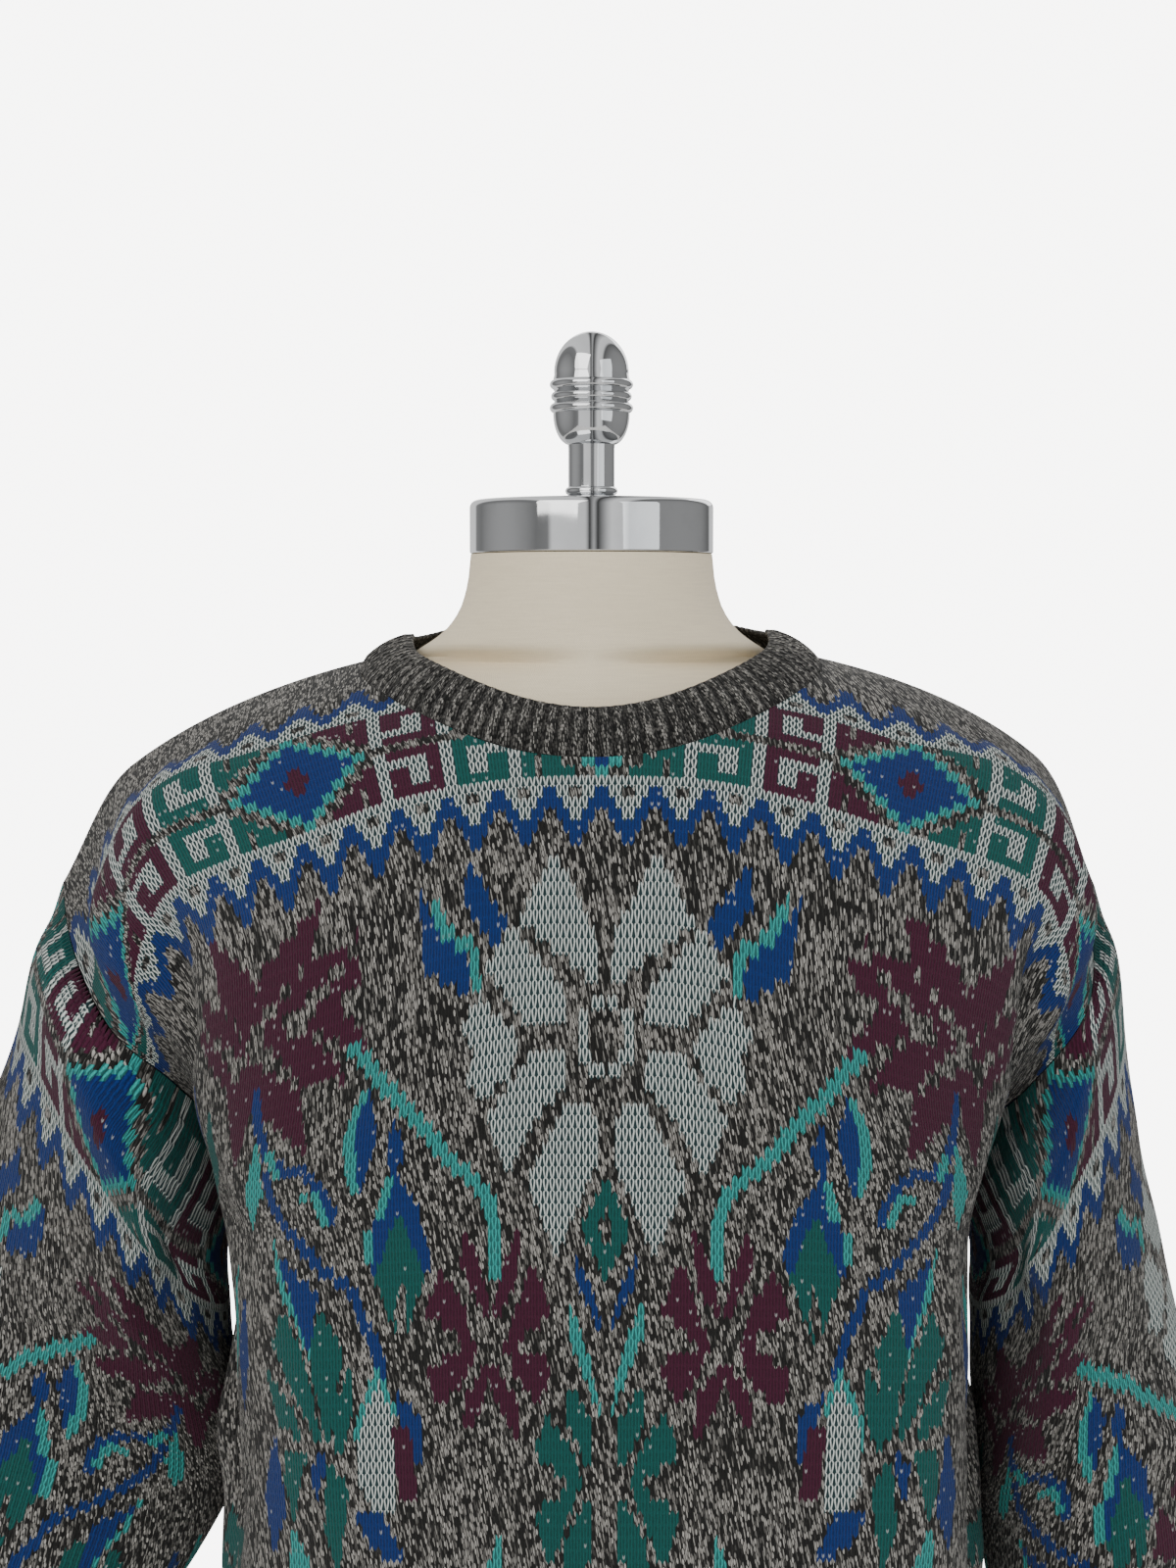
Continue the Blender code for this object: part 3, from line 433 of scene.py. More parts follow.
def hermite(p, q, dp, dq, steps):
    """Points of one smooth stretch from p to q."""
    u = np.linspace(0.0, 1.0, steps)[:, None]
    return ((2 * u**3 - 3 * u**2 + 1) * p + (u**3 - 2 * u**2 + u) * dp
            + (3 * u**2 - 2 * u**3) * q + (u**3 - u**2) * dq)


def even(points, fractions):
    """Points at even shares of a polyline's length."""
    step = np.linalg.norm(np.diff(points, axis=0), axis=1)
    length = np.concatenate([[0.0], np.cumsum(step)])
    wanted = np.clip(fractions, 0.0, 1.0) * length[-1]
    return np.stack([np.interp(wanted, length, points[:, k]) for k in range(3)], axis=-1)


def body_row(sections, t, back):
    """One knitted row from the centre line to the side, for x > 0."""
    y0, z0, cx, cy, cz, ex, ey, ez = spline(sections, t)[0]
    centre, corner, edge = np.array([0.0, y0, z0]), np.array([cx, cy, cz]), np.array([ex, ey, ez])
    if back:
        seam_y = RIDGE_Y * smooth((t - ARMPIT_T) / (RIDGE_T - ARMPIT_T))
        for point in (centre, corner, edge):
            point[1] = seam_y + (seam_y - point[1]) * BACK_DEPTH
    first, second = np.linalg.norm(corner - centre), np.linalg.norm(edge - corner)
    turn = unit((corner - centre) / first + (edge - corner) / second)
    side = np.array([0.0, -1.0 if back else 1.0, 0.0])
    lean = smooth((t - ARMPIT_T) / 0.05)
    leave = unit(side * (1 - lean) + unit(edge - corner) * lean)
    inner = hermite(centre, corner, np.array([first, 0.0, 0.0]), turn * first * 0.9, 60)
    outer = hermite(corner, edge, turn * second * 0.9, leave * second, 60)
    return np.concatenate([inner, outer[1:]])


def look_up(net, row, column):
    """Points of a dense net at fractional rows and columns."""
    row = np.clip(row, 0, net.shape[0] - 1.000001)
    column = np.clip(column, 0, net.shape[1] - 1.000001)
    i, j = row.astype(int), column.astype(int)
    a, b = (row - i)[..., None], (column - j)[..., None]
    return ((net[i, j] * (1 - b) + net[i, j + 1] * b) * (1 - a)
            + (net[i + 1, j] * (1 - b) + net[i + 1, j + 1] * b) * a)


def fold_height(folds, s, t):
    """Height of a table's ridges and troughs at places in the cloth."""
    total = np.zeros_like(s)
    for s0, t0, s1, t1, width, depth in folds:
        along = np.array([s1 - s0, t1 - t0])
        share = ((s - s0) * along[0] + (t - t0) * along[1]) / (along @ along)
        near = np.clip(share, 0.0, 1.0)
        away = np.hypot(s - s0 - near * along[0], t - t0 - near * along[1])
        taper = smooth(np.minimum(near, 1 - near) * 3.0)
        total = total + depth * taper * np.exp(-(away / width) ** 2)
    return total


def soft_unevenness(s, t, seed, height):
    """Slow waves that keep the cloth from lying too evenly."""
    wave = np.sin(s * 41 + seed) * np.cos(t * 33 + seed * 2.3)
    return height * (wave + 0.6 * np.sin(s * 83 - t * 57 + seed) + 0.4 * np.sin(t * 121 + s * 29))


class Body:
    """The front or back cloth as a function of sideways and upward measure."""
    rows, columns = 331, 161

    def __init__(self, back):
        self.back = back
        self.nets = []
        for side, sections in ((-1, LEFT_SECTIONS), (1, RIGHT_SECTIONS)):
            shares = np.linspace(0.0, 1.0, self.columns)
            levels = np.linspace(HEM_T, RIDGE_T, self.rows)
            net = np.array([even(body_row(sections, t, back), shares) for t in levels])
            self.nets.append(net * (side, 1.0, 1.0))

    def bare(self, s, t):
        """Places before the folds."""
        row = (t - HEM_T) / (RIDGE_T - HEM_T) * (self.rows - 1)
        column = np.abs(s) / HALF_WIDTH * (self.columns - 1)
        left, right = (look_up(net, row, column) for net in self.nets)
        return np.where((s >= 0)[..., None], right, left)

    def bare_normal(self, s, t):
        """Outward directions before the folds."""
        step = 0.003
        across = (self.bare(np.minimum(s + step, HALF_WIDTH), t)
                  - self.bare(np.maximum(s - step, -HALF_WIDTH), t))
        along = (self.bare(s, np.minimum(t + step, RIDGE_T))
                 - self.bare(s, np.maximum(t - step, HEM_T)))
        normal = unit(np.cross(across, along))
        return -normal if self.back else normal

    def place(self, s, t):
        """Places with folds."""
        height = np.where(s >= 0, fold_height(RIGHT_FOLDS, np.abs(s), t),
                          fold_height(LEFT_FOLDS, np.abs(s), t))
        height = height + soft_unevenness(s, t, 1.7 if self.back else 0.4, 0.0005)
        edge = smooth((HALF_WIDTH - np.abs(s)) / 0.03) * smooth((RIDGE_T - t) / 0.03)
        return self.bare(s, t) + self.bare_normal(s, t) * (height * edge)[..., None]

    def normal(self, s, t):
        """Outward directions with folds."""
        step = 0.0015
        across = (self.place(np.minimum(s + step, HALF_WIDTH), t)
                  - self.place(np.maximum(s - step, -HALF_WIDTH), t))
        along = (self.place(s, np.minimum(t + step, RIDGE_T))
                 - self.place(s, np.maximum(t - step, HEM_T)))
        normal = unit(np.cross(across, along))
        return -normal if self.back else normal


def neck_t(s, back):
    """Height in the cloth of the neck edge at a distance from the centre."""
    drop = NECK_DROP_BACK if back else NECK_DROP_FRONT
    share = np.clip(np.abs(s) / NECK_HALF, 0.0, 1.0)
    return np.where(np.abs(s) < NECK_HALF, RIDGE_T - drop * np.sqrt(1 - share**2), RIDGE_T)


def sleeve_section(row, share):
    """One closed section of a sleeve, for x > 0, starting at its outer fold."""
    outer_x, outer_z, inner_x, inner_z, front_y, back_y = row[1:]
    outer, inner = np.array([outer_x, 0.0, outer_z]), np.array([inner_x, 0.0, inner_z])
    middle, reach = (outer + inner) / 2, (outer - inner) / 2
    angle = np.linspace(0.0, 2 * math.pi, 361)
    depth = np.where(np.sin(angle) > 0, front_y, -back_y)
    ring = middle + reach * np.cos(angle)[:, None]
    ring[:, 1] = depth * np.sin(angle)
    first = even(ring[:181], np.clip(share * 2, 0, 1))
    second = even(ring[180:], np.clip(share * 2 - 1, 0, 1))
    return np.where((share <= 0.5)[:, None], first, second)


class Sleeve:
    """A sleeve as a function of the length down and the share round."""
    rows, columns = 221, 361

    def __init__(self, side, bodies):
        self.side = side
        share = np.linspace(0.0, 1.0, self.columns)
        front, rear = np.clip(share * 2, 0, 1), np.clip(share * 2 - 1, 0, 1)
        t = np.where(share <= 0.5, RIDGE_T + (ARMPIT_T - RIDGE_T) * front,
                     ARMPIT_T + (RIDGE_T - ARMPIT_T) * rear)
        s = np.full(self.columns, side * HALF_WIDTH)
        loop = np.where((share <= 0.5)[:, None], bodies[0].bare(s, t), bodies[1].bare(s, t))
        table = RIGHT_SLEEVE if side > 0 else LEFT_SLEEVE
        rings = [loop] + [sleeve_section(row, share) * (side, 1, 1) for row in table]
        flat = [[v] + list(ring.ravel()) for v, ring in zip([0.0] + [r[0] for r in table], rings)]
        self.length = table[-1][0]
        levels = np.linspace(0.0, self.length, self.rows)
        self.net = spline(flat, levels).reshape(self.rows, self.columns, 3)
        step = np.linalg.norm(np.diff(self.net, axis=1), axis=2)
        middle = (self.columns - 1) // 2
        zero = np.zeros((self.rows, 1))
        self.front = np.concatenate([zero, np.cumsum(step[:, :middle], axis=1)], axis=1)
        self.rear = np.concatenate([zero, np.cumsum(step[:, :middle - 1:-1], axis=1)], axis=1)

    def half_round(self, v):
        """Lengths of the front and the back half round the sleeve at a level."""
        row = v / self.length * (self.rows - 1)
        index = np.arange(self.rows)
        return np.interp(row, index, self.front[:, -1]), np.interp(row, index, self.rear[:, -1])

    def share(self, c, v):
        """Share round the sleeve at a distance from its outer fold, one level."""
        row = min(max(int(round(v / self.length * (self.rows - 1))), 0), self.rows - 1)
        index = np.arange(self.front.shape[1]) / (self.columns - 1)
        ahead = np.interp(np.abs(c), self.front[row], index)
        behind = 1 - np.interp(np.abs(c), self.rear[row], index)
        return np.where(c >= 0, ahead, behind)

    def bare(self, v, share):
        """Places before the folds."""
        return look_up(self.net, v / self.length * (self.rows - 1), share * (self.columns - 1))

    def directions(self, v, share, place):
        """Outward directions of a place function."""
        around = place(v, np.minimum(share + 0.004, 1.0)) - place(v, np.maximum(share - 0.004, 0.0))
        down = (place(np.minimum(v + 0.003, self.length), share)
                - place(np.maximum(v - 0.003, 0.0), share))
        return unit(np.cross(around, down)) * self.side

    def place(self, v, share):
        """Places with folds."""
        front, rear = self.half_round(v)
        c = np.where(share <= 0.5, share * 2 * front, (share - 1) * 2 * rear)
        height = fold_height(SLEEVE_FOLDS, c, v) + soft_unevenness(c, v, 2.9 + self.side, 0.0006)
        height = height * smooth(v / 0.04) * smooth((self.length - v) / 0.03)
        fade = smooth(np.minimum(np.abs(share - 0.5) / 0.05, 1.0))
        return self.bare(v, share) + self.directions(v, share, self.bare) * (height * fade)[..., None]

    def normal(self, v, share):
        """Outward directions with folds."""
        return self.directions(v, share, self.place)


# Charts of the motifs


def patch_mask(x, y, corners):
    """Where a patch with straight sides covers the chart."""
    inside = np.zeros(x.shape, bool)
    for (x0, y0), (x1, y1) in zip(corners, corners[1:] + corners[:1]):
        if y0 != y1:
            crossing = x0 + (x1 - x0) * (y - y0) / (y1 - y0)
            inside ^= ((y0 > y) != (y1 > y)) & (x < crossing)
    return inside


def stroke_mask(x, y, half, points, stretch):
    """Where a stroke of even thickness covers the chart; a course is stretch wales high."""
    near = np.full(x.shape, 1e9)
    for (x0, y0), (x1, y1) in zip(points, points[1:]):
        dx, dy = x1 - x0, (y1 - y0) * stretch
        px, py = x - x0, (y - y0) * stretch
        share = np.clip((px * dx + py * dy) / (dx**2 + dy**2), 0, 1)
        near = np.minimum(near, np.hypot(px - share * dx, py - share * dy))
    return near <= half


def star_mask(x, y, cx, cy, half_width, half_height, petal):
    """Where an eight-petalled star covers the chart."""
    covered = np.zeros(x.shape, bool)
    for k in range(8):
        angle = math.radians(22.5 + 45 * k)
        dx, dy = half_width * math.cos(angle), half_height * math.sin(angle)
        ax, ay = -math.sin(angle) * petal, math.cos(angle) * petal / 2
        covered |= patch_mask(x, y, ((cx + dx * 0.16, cy + dy * 0.16),
                                     (cx + dx * 0.65 + ax, cy + dy * 0.65 + ay),
                                     (cx + dx * 1.06, cy + dy * 1.06),
                                     (cx + dx * 0.65 - ax, cy + dy * 0.65 - ay)))
    return covered


def band_yarns(wale, course, yarns):
    """The patterned band: diamonds, wedges and keys between two rows of teeth."""
    row, place = np.abs(course), np.mod(np.abs(wale), REPEAT_WALES)
    first = place < REPEAT_WALES / 2
    q = np.where(first, place, REPEAT_WALES - place)
    colour = np.where(first, GREEN, WINE)
    tooth = np.abs(np.mod(np.abs(wale), TOOTH_WALES) - TOOTH_WALES / 2)
    half = np.where(row < BASE_COURSE, DIAMOND_WALES - 2 * row, 0)
    keys = (row >= 1) & (row < BASE_COURSE)
    frame_part = (row == 1) | (row == BASE_COURSE - 1) | (q > 20) | ((row > 2) & (q < 17))
    rules = (
        (row < BASE_COURSE, MARL),
        ((row > BASE_COURSE) & (tooth < BASE_COURSE + 6.4 - row), BLUE),
        ((row > BASE_COURSE) & (tooth < BASE_COURSE + 4 - row), WHITE),
        ((row == BASE_COURSE + 1) & (tooth < 1), MARL),
        (row == BASE_COURSE, WHITE),
        (keys & (q > half + 2.5) & (q < 12), colour),
        (keys & (row > 3) & (q > 8.5) & (q < 10.5), MARL),
        (keys & (q > 12), WHITE),
        (keys & (q > 14) & (q < 22) & frame_part, colour),
        (q < half, AQUA),
        (q < half - 2, BLUE),
        (q < 2.5 - row, WINE),
    )
    for covered, yarn in rules:
        yarns = np.where(covered, yarn, yarns)
    return yarns


def chart(wale, course, x, y, settings):
    """Yarn of each stitch: wale and course count from the band's middle, x and y from
    the centre line and the same level for the motifs."""
    yarns = np.full(x.shape, MARL)
    for yarn, *star in STARS:
        yarns = np.where(star_mask(x, y, *star), yarn, yarns)
    stretch = settings.course / settings.wale
    for yarn, half, points in MOTIFS:
        if half:
            covered = stroke_mask(x, y, half, points, stretch)
        else:
            rim = stroke_mask(x, y, PATCH_RIM[yarn], points + points[:1], stretch)
            covered = patch_mask(x, y, points) | rim
        yarns = np.where(covered, yarn, yarns)
    return band_yarns(wale, course, yarns)


def band_rows(s):
    """Heights in the cloth of the hem, the band's three lines and the ridge."""
    low, middle, high = spline(BAND_LINES, np.abs(s) * 1000).T / 1000
    return np.stack([np.full_like(low, HEM_T + SEAM_INSET), low, middle, high,
                     np.full_like(low, RIDGE_T - SEAM_INSET)])


def interpolate(at, places, values):
    """Piecewise straight look-up with its own table in each column."""
    result = values[0] + 0.0 * at
    for a, b, first, last in zip(places, places[1:], values, values[1:]):
        result = result + (last - first) * np.clip((at - a) / (b - a), 0, 1)
    return result


# Meshes


def stitch_faces(limits, columns):
    """Corners of the stitch legs, row by row; a limit holds each column's last row."""
    faces = []
    for j in range(columns):
        for k in range(max(limits[j], limits[j + 1])):
            corners = [(j, min(k, limits[j])), (j + 1, min(k, limits[j + 1])),
                       (j + 1, min(k + 1, limits[j + 1])), (j, min(k + 1, limits[j]))]
            ring = [c for n, c in enumerate(corners) if c != corners[n - 1]]
            if len(ring) > 2:
                faces.append((ring, j, k))
    return faces


def stitch_mesh(name, points, faces, uvs, yarns):
    """A mesh with its stitch map and the yarn of each face."""
    mesh = bpy.data.meshes.new(name)
    mesh.from_pydata([tuple(p) for p in points], [], faces)
    layer = mesh.uv_layers.new(name="stitch")
    layer.data.foreach_set("uv", np.array([c for uv in uvs for c in uv]).ravel())
    number = mesh.attributes.new("yarn", "FLOAT", "FACE")
    number.data.foreach_set("value", np.array(yarns, dtype=float))
    return mesh


def closed_cloth(name, outer, inner, faces, uvs, yarns, flip):
    """A closed wall of cloth with its stitch map and its yarns."""
    count = len(outer)
    if flip:
        faces = [face[::-1] for face in faces]
        uvs = [uv[::-1] for uv in uvs]
    edges = {}
    for number, face in enumerate(faces):
        for n, corner in enumerate(face):
            follower = face[(n + 1) % len(face)]
            if edges.pop((follower, corner), None) is None:
                edges[(corner, follower)] = (number, n)
    all_faces = list(faces)
    all_uvs = list(uvs)
    all_yarns = list(yarns)
    for face, uv, yarn in zip(faces, uvs, yarns):
        all_faces.append(tuple(c + count for c in face[::-1]))
        all_uvs.append(uv[::-1])
        all_yarns.append(yarn)
    for (a, b), (number, n) in edges.items():
        face_uvs = uvs[number]
        ua, ub = face_uvs[n], face_uvs[(n + 1) % len(face_uvs)]
        all_faces.append((b, a, a + count, b + count))
        all_uvs.append((ub, ua, ua, ub))
        all_yarns.append(yarns[number])
    mesh = stitch_mesh(name, np.concatenate([outer, inner]), all_faces, all_uvs, all_yarns)
    mesh.shade_smooth()
    mesh.set_sharp_from_angle(angle=math.radians(60))
    return mesh


def add_piece(name, mesh, material, node):
    """Link a finished piece that stands for one of the frame's nodes."""
    mesh.materials.append(material)
    piece = bpy.data.objects.new(name, mesh)
    bpy.context.scene.collection.objects.link(piece)
    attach(piece, "root")
    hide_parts(node)
    return piece


def knit_panel(name, body, settings, material):
    """Front or back panel, one pair of legs for each stitch."""
    wales = int(round(2 * HALF_WIDTH / settings.wale))
    columns = 2 * wales
    half = HALF_WIDTH - SEAM_INSET
    s = np.linspace(-half, half, columns + 1)
    lines = band_rows(s)
    steps = np.cumsum([0.0, LOW_COURSES, BAND_COURSES, BAND_COURSES, TOP_COURSES])
    flat_steps = np.repeat(steps[:, None], columns + 1, axis=1)
    top = interpolate(neck_t(s, body.back) - SEAM_INSET, lines, flat_steps)
    limits = np.maximum(np.ceil(top - LEAST_REST).astype(int), 1)
    starts = np.concatenate([[0], np.cumsum(limits + 1)])
    column = np.repeat(np.arange(columns + 1), limits + 1)
    course = np.arange(starts[-1]) - starts[column]
    at_top = course == limits[column]
    level = np.where(at_top, top[column], course.astype(float))
    drop = np.where((column % 2 == 1) & ~at_top & (course > 0), settings.vee, 0.0)
    t = interpolate(level - drop, flat_steps[:, column], lines[:, column])
    points = body.place(s[column], t)
    inner = points - body.normal(s[column], t) * WALL
    faces, uvs = [], []
    raw = stitch_faces(limits, columns)
    number, row = (np.array([item[n] for item in raw]) for n in (1, 2))
    middle = (s[number] + s[number + 1]) / 2
    wale = number // 2 + 0.5 - CENTRE_WALE
    height = interpolate(row + 0.5, flat_steps[:, number], lines[:, number])
    band_course = row + 0.5 - LOW_COURSES - BAND_COURSES
    x, y = np.abs(middle - CENTRE_LINE) / settings.wale, height / settings.course
    yarns = chart(wale, band_course, x, y, settings)
    for ring, *_ in raw:
        ids = [int(starts[a] + b) for a, b in ring]
        faces.append(tuple(ids))
        uvs.append(tuple((a / 2, level[i]) for (a, b), i in zip(ring, ids)))
    mesh = closed_cloth(name, points, inner, faces, uvs, list(yarns), body.back)
    node = "back_panel" if body.back else "front_panel"
    return add_piece(name, mesh, material, node)


def knit_sleeve(name, sleeve, settings, material):
    """A sleeve, knitted round, with the odd stitches taken up under the arm."""
    rows = int(sleeve.length / settings.course)
    half = settings.wale / 2
    points, normals, index, levels = [], [], {}, []
    limits = []
    for k in range(rows + 1):
        v = max(k * settings.course, 2 * SEAM_GAP) if k < rows else sleeve.length - SEAM_GAP
        front, rear = (float(length) for length in sleeve.half_round(np.array(v)))
        ahead, behind = (max(int(math.ceil(length / half - LEAST_REST)), 2)
                         for length in (front, rear))
        limits.append((ahead, behind))
        j = np.arange(-behind + 1, ahead + 1)
        c = np.where(j == ahead, front, j * half)
        share = sleeve.share(c, v)
        share[j == ahead] = 0.5
        drop = np.where((np.abs(j) % 2 == 1) & (0 < k < rows), settings.vee, 0.0) * settings.course
        place_v = np.minimum(v + drop, sleeve.length)
        start = len(points)
        points.extend(sleeve.place(place_v, share))
        normals.extend(sleeve.normal(place_v, share))
        for n, column in enumerate(j):
            index[(int(column), k)] = start + n
        index[(-behind, k)] = index[(ahead, k)]
        levels.append(v / settings.course)
    faces, uvs, cells = [], [], []
    for k in range(rows):
        (ahead, behind), (next_ahead, next_behind) = limits[k], limits[k + 1]
        for j in range(-max(behind, next_behind), max(ahead, next_ahead)):
            corners = []
            for a, b in ((j, k), (j + 1, k), (j + 1, k + 1), (j, k + 1)):
                low, high = -limits[b][1], limits[b][0]
                corners.append((min(max(a, low), high), b))
            ids, uv = [], []
            for a, b in corners:
                number = index[(a, b)]
                if number not in ids:
                    ids.append(number)
                    uv.append((a / 2, -levels[b]))
            if len(ids) > 2:
                faces.append(tuple(ids))
                uvs.append(tuple(uv))
                cells.append((j, k))
    cells = np.array(cells)
    wale = np.floor(cells[:, 0] / 2) + 0.5
    up = SLEEVE_BAND_V / settings.course - cells[:, 1] - 0.5
    yarns = chart(wale, np.round(up), np.abs(wale), up, settings)
    points, normals = np.array(points), np.array(normals)
    mesh = closed_cloth(name, points, points - normals * WALL, faces, uvs, list(yarns),
                        sleeve.side < 0)
    node = "sleeve_right" if sleeve.side > 0 else "sleeve_left"
    return add_piece(name, mesh, material, node)


def ring_points(ring, spots):
    """Points round a closed ring at fractional places."""
    closed = np.concatenate([ring, ring[:1]])
    index = np.arange(len(closed))
    return np.stack([np.interp(spots, index, closed[:, k]) for k in range(3)], axis=-1)


def knit_band(name, base, top, normal_base, normal_top, facts, settings, material, node):
    """A one by one rib band with a rounded free edge; the base is its lower edge."""
    ribs, height, swell, free_end = facts
    columns = ribs * RIB_STEPS
    spots = np.arange(columns) / columns * len(base)
    rows = int(round(height / settings.course * 2))
    b, u, nb, nt = (ring_points(ring, spots) for ring in (base, top, normal_base, normal_top))
    phase = np.arange(columns) / RIB_STEPS * 2 * math.pi
    wave = np.tanh(1.6 * np.cos(phase)) * 0.5 + 0.5
    loops, along = [], []
    for p in np.linspace(0, 1, rows + 1):
        normal = unit(nb * (1 - p) + nt * p)
        grip = smooth(np.array(min(p, 1 - p) * 6 + 0.35))
        lift = swell * math.sin(math.pi * p) + wave * RIB_RISE * float(grip)
        loops.append(b * (1 - p) + u * p + normal * lift[:, None])
        along.append(p * height / settings.course)
    half = WALL / 2
    normal, out = (nt, unit(u - b)) if free_end == "top" else (nb, unit(b - u))
    if free_end == "bottom":
        loops, along = loops[::-1], along[::-1]
    edge = loops[-1]
    for step in range(1, ROLL_STEPS + 1):
        angle = math.pi * step / ROLL_STEPS
        turn = normal * (half * (math.cos(angle) - 1)) + out * (half * 1.2 * math.sin(angle))
        loops.append(edge + turn)
        along.append(along[-1] + 0.12)
    for p in np.linspace(1, 0, rows // 2 + 1)[1:]:
        q = p if free_end == "top" else 1 - p
        direction = unit(nb * (1 - q) + nt * q)
        lift = swell * math.sin(math.pi * q)
        loops.append(b * (1 - q) + u * q + direction * (lift - WALL))
        along.append(along[-1] + height / settings.course / (rows // 2))
    count = len(loops)
    points = np.concatenate(loops)
    faces, uvs = [], []
    for i in range(count):
        k = (i + 1) % count
        for j in range(columns):
            m = (j + 1) % columns
            faces.append((i * columns + j, i * columns + m, k * columns + m, k * columns + j))
            u0, u1 = j / RIB_STEPS * 2, (j + 1) / RIB_STEPS * 2
            v0 = along[i]
            v1 = along[k] if k else along[i] + 0.4
            uvs.append(((u0, v0), (u1, v0), (u1, v1), (u0, v1)))
    mesh = stitch_mesh(name, points, faces, uvs, [MARL] * len(faces))
    bm = bmesh.new()
    bm.from_mesh(mesh)
    bmesh.ops.recalc_face_normals(bm, faces=bm.faces[:])
    if bm.calc_volume(signed=True) < 0:
        bmesh.ops.reverse_faces(bm, faces=bm.faces[:])
    bm.to_mesh(mesh)
    bm.free()
    mesh.shade_smooth()
    return add_piece(name, mesh, material, node)


def neck_ring(bodies, steps):
    """Neck edge of both panels, front from the left round to the back."""
    angles = np.linspace(-math.pi / 2, math.pi / 2, steps)
    s = NECK_HALF * 0.99999 * np.sin(angles)
    front = bodies[0].bare(s, neck_t(s, False))
    rear = bodies[1].bare(s[::-1], neck_t(s, True)[::-1])
    return np.concatenate([front[:-1], rear[:-1]])


def collar_rings(ring):
    """The collar's lower and upper edges and its outward directions."""
    middle = ring.mean(axis=0)
    inward = unit((middle - ring) * (1.0, 1.0, 0.0))
    backness = smooth(0.5 - inward[:, 1:2] / 2)
    lean = COLLAR_LEAN_FRONT + (COLLAR_LEAN_BACK - COLLAR_LEAN_FRONT) * backness
    lean = lean + (COLLAR_LEAN_SIDE - lean) * smooth(inward[:, :1] ** 2)
    direction = inward * lean + np.array([0.0, 0.0, 1.0]) * np.sqrt(1 - lean**2)
    tangent = np.roll(ring, -1, axis=0) - np.roll(ring, 1, axis=0)
    normal = unit(np.cross(tangent, direction))
    return ring + direction * SEAM_GAP, ring + direction * COLLAR_HEIGHT, normal


# Materials


class Value:
    """A shader socket that adds Math nodes where it is used in an expression."""

    def __init__(self, nodes, socket):
        self.nodes, self.socket = nodes, socket

    def math(self, operation, *others):
        inputs = {n: other for n, other in enumerate((self,) + others)}
        return self.nodes.add("ShaderNodeMath", {"operation": operation}, inputs)

    def __add__(self, other):
        return self.math("ADD", other)

    def __mul__(self, other):
        return self.math("MULTIPLY", other)

    def __sub__(self, other):
        return self.math("SUBTRACT", other)

    def __rsub__(self, other):
        return self.nodes.add("ShaderNodeMath", {"operation": "SUBTRACT"}, {0: other, 1: self})

    def __truediv__(self, other):
        return self.math("DIVIDE", other)

    def __abs__(self):
        return self.math("ABSOLUTE")

    def fraction(self):
        return self.math("FRACT")

    def floor(self):
        return self.math("FLOOR")

    def between(self, low, high):
        """Ease from 0 at low to 1 at high."""
        return self.nodes.add("ShaderNodeMapRange", {"interpolation_type": "SMOOTHSTEP"},
                              {"Value": self, "From Min": low, "From Max": high})


def fill_ramp(ramp, stops):
    """Set a colour ramp's places and colours."""
    while len(ramp.elements) < len(stops):
        ramp.elements.new(0.5)
    for element, (place, colour) in zip(ramp.elements, stops):
        element.position = place
        element.color = (*colour, 1.0)


class Nodes:
    """A material's node tree and the one way of adding to it."""

    def __init__(self, name):
        self.material = bpy.data.materials.new(name)
        self.material.use_nodes = True
        self.tree = self.material.node_tree
        self.shader = self.tree.nodes["Principled BSDF"]

    def add(self, kind, settings=None, inputs=None, output=0):
        """A node with its settings, then its sockets; returns one output."""
        node = self.tree.nodes.new(kind)
        for key, value in (settings or {}).items():
            if key == "stops":
                fill_ramp(node.color_ramp, value)
            else:
                setattr(node, key, value)
        for key, value in (inputs or {}).items():
            self.set(node.inputs[key], value)
        return Value(self, node.outputs[output])

    def set(self, socket, value):
        if isinstance(value, Value):
            self.tree.links.new(value.socket, socket)
        elif socket.type == "RGBA" and len(value) == 3:
            socket.default_value = (*value, 1.0)
        else:
            socket.default_value = value

    def mix(self, factor, first, second, blend="MIX"):
        """A mixed colour."""
        return self.add("ShaderNodeMix", {"data_type": "RGBA", "blend_type": blend},
                        {0: factor, 6: first, 7: second}, 2)

    def vector(self, x, y, z=0.0):
        return self.add("ShaderNodeCombineXYZ", None, {0: x, 1: y, 2: z})

    def parts(self, vector):
        node = self.tree.nodes.new("ShaderNodeSeparateXYZ")
        self.tree.links.new(vector.socket, node.inputs[0])
        return tuple(Value(self, node.outputs[k]) for k in range(3))

    def noise(self, vector, scale, detail=2.0, rough=0.5, output=0):
        return self.add("ShaderNodeTexNoise", None,
                        {"Vector": vector, "Scale": scale, "Detail": detail, "Roughness": rough},
                        output)

    def random(self, vector):
        """An even random value for each place."""
        return self.add("ShaderNodeTexWhiteNoise", {"noise_dimensions": "3D"}, {"Vector": vector})

    def finish(self, colour=None, roughness=None, bump=None, strength=0.5, distance=0.001):
        """Link what varies to the shader; a height goes through one Bump node."""
        if colour is not None:
            self.set(self.shader.inputs["Base Color"], colour)
        if roughness is not None:
            self.set(self.shader.inputs["Roughness"], roughness)
        if bump is not None:
            node = self.add("ShaderNodeBump", None,
                            {"Strength": strength, "Distance": distance, "Height": bump})
            self.set(self.shader.inputs["Normal"], node)
        return self.material


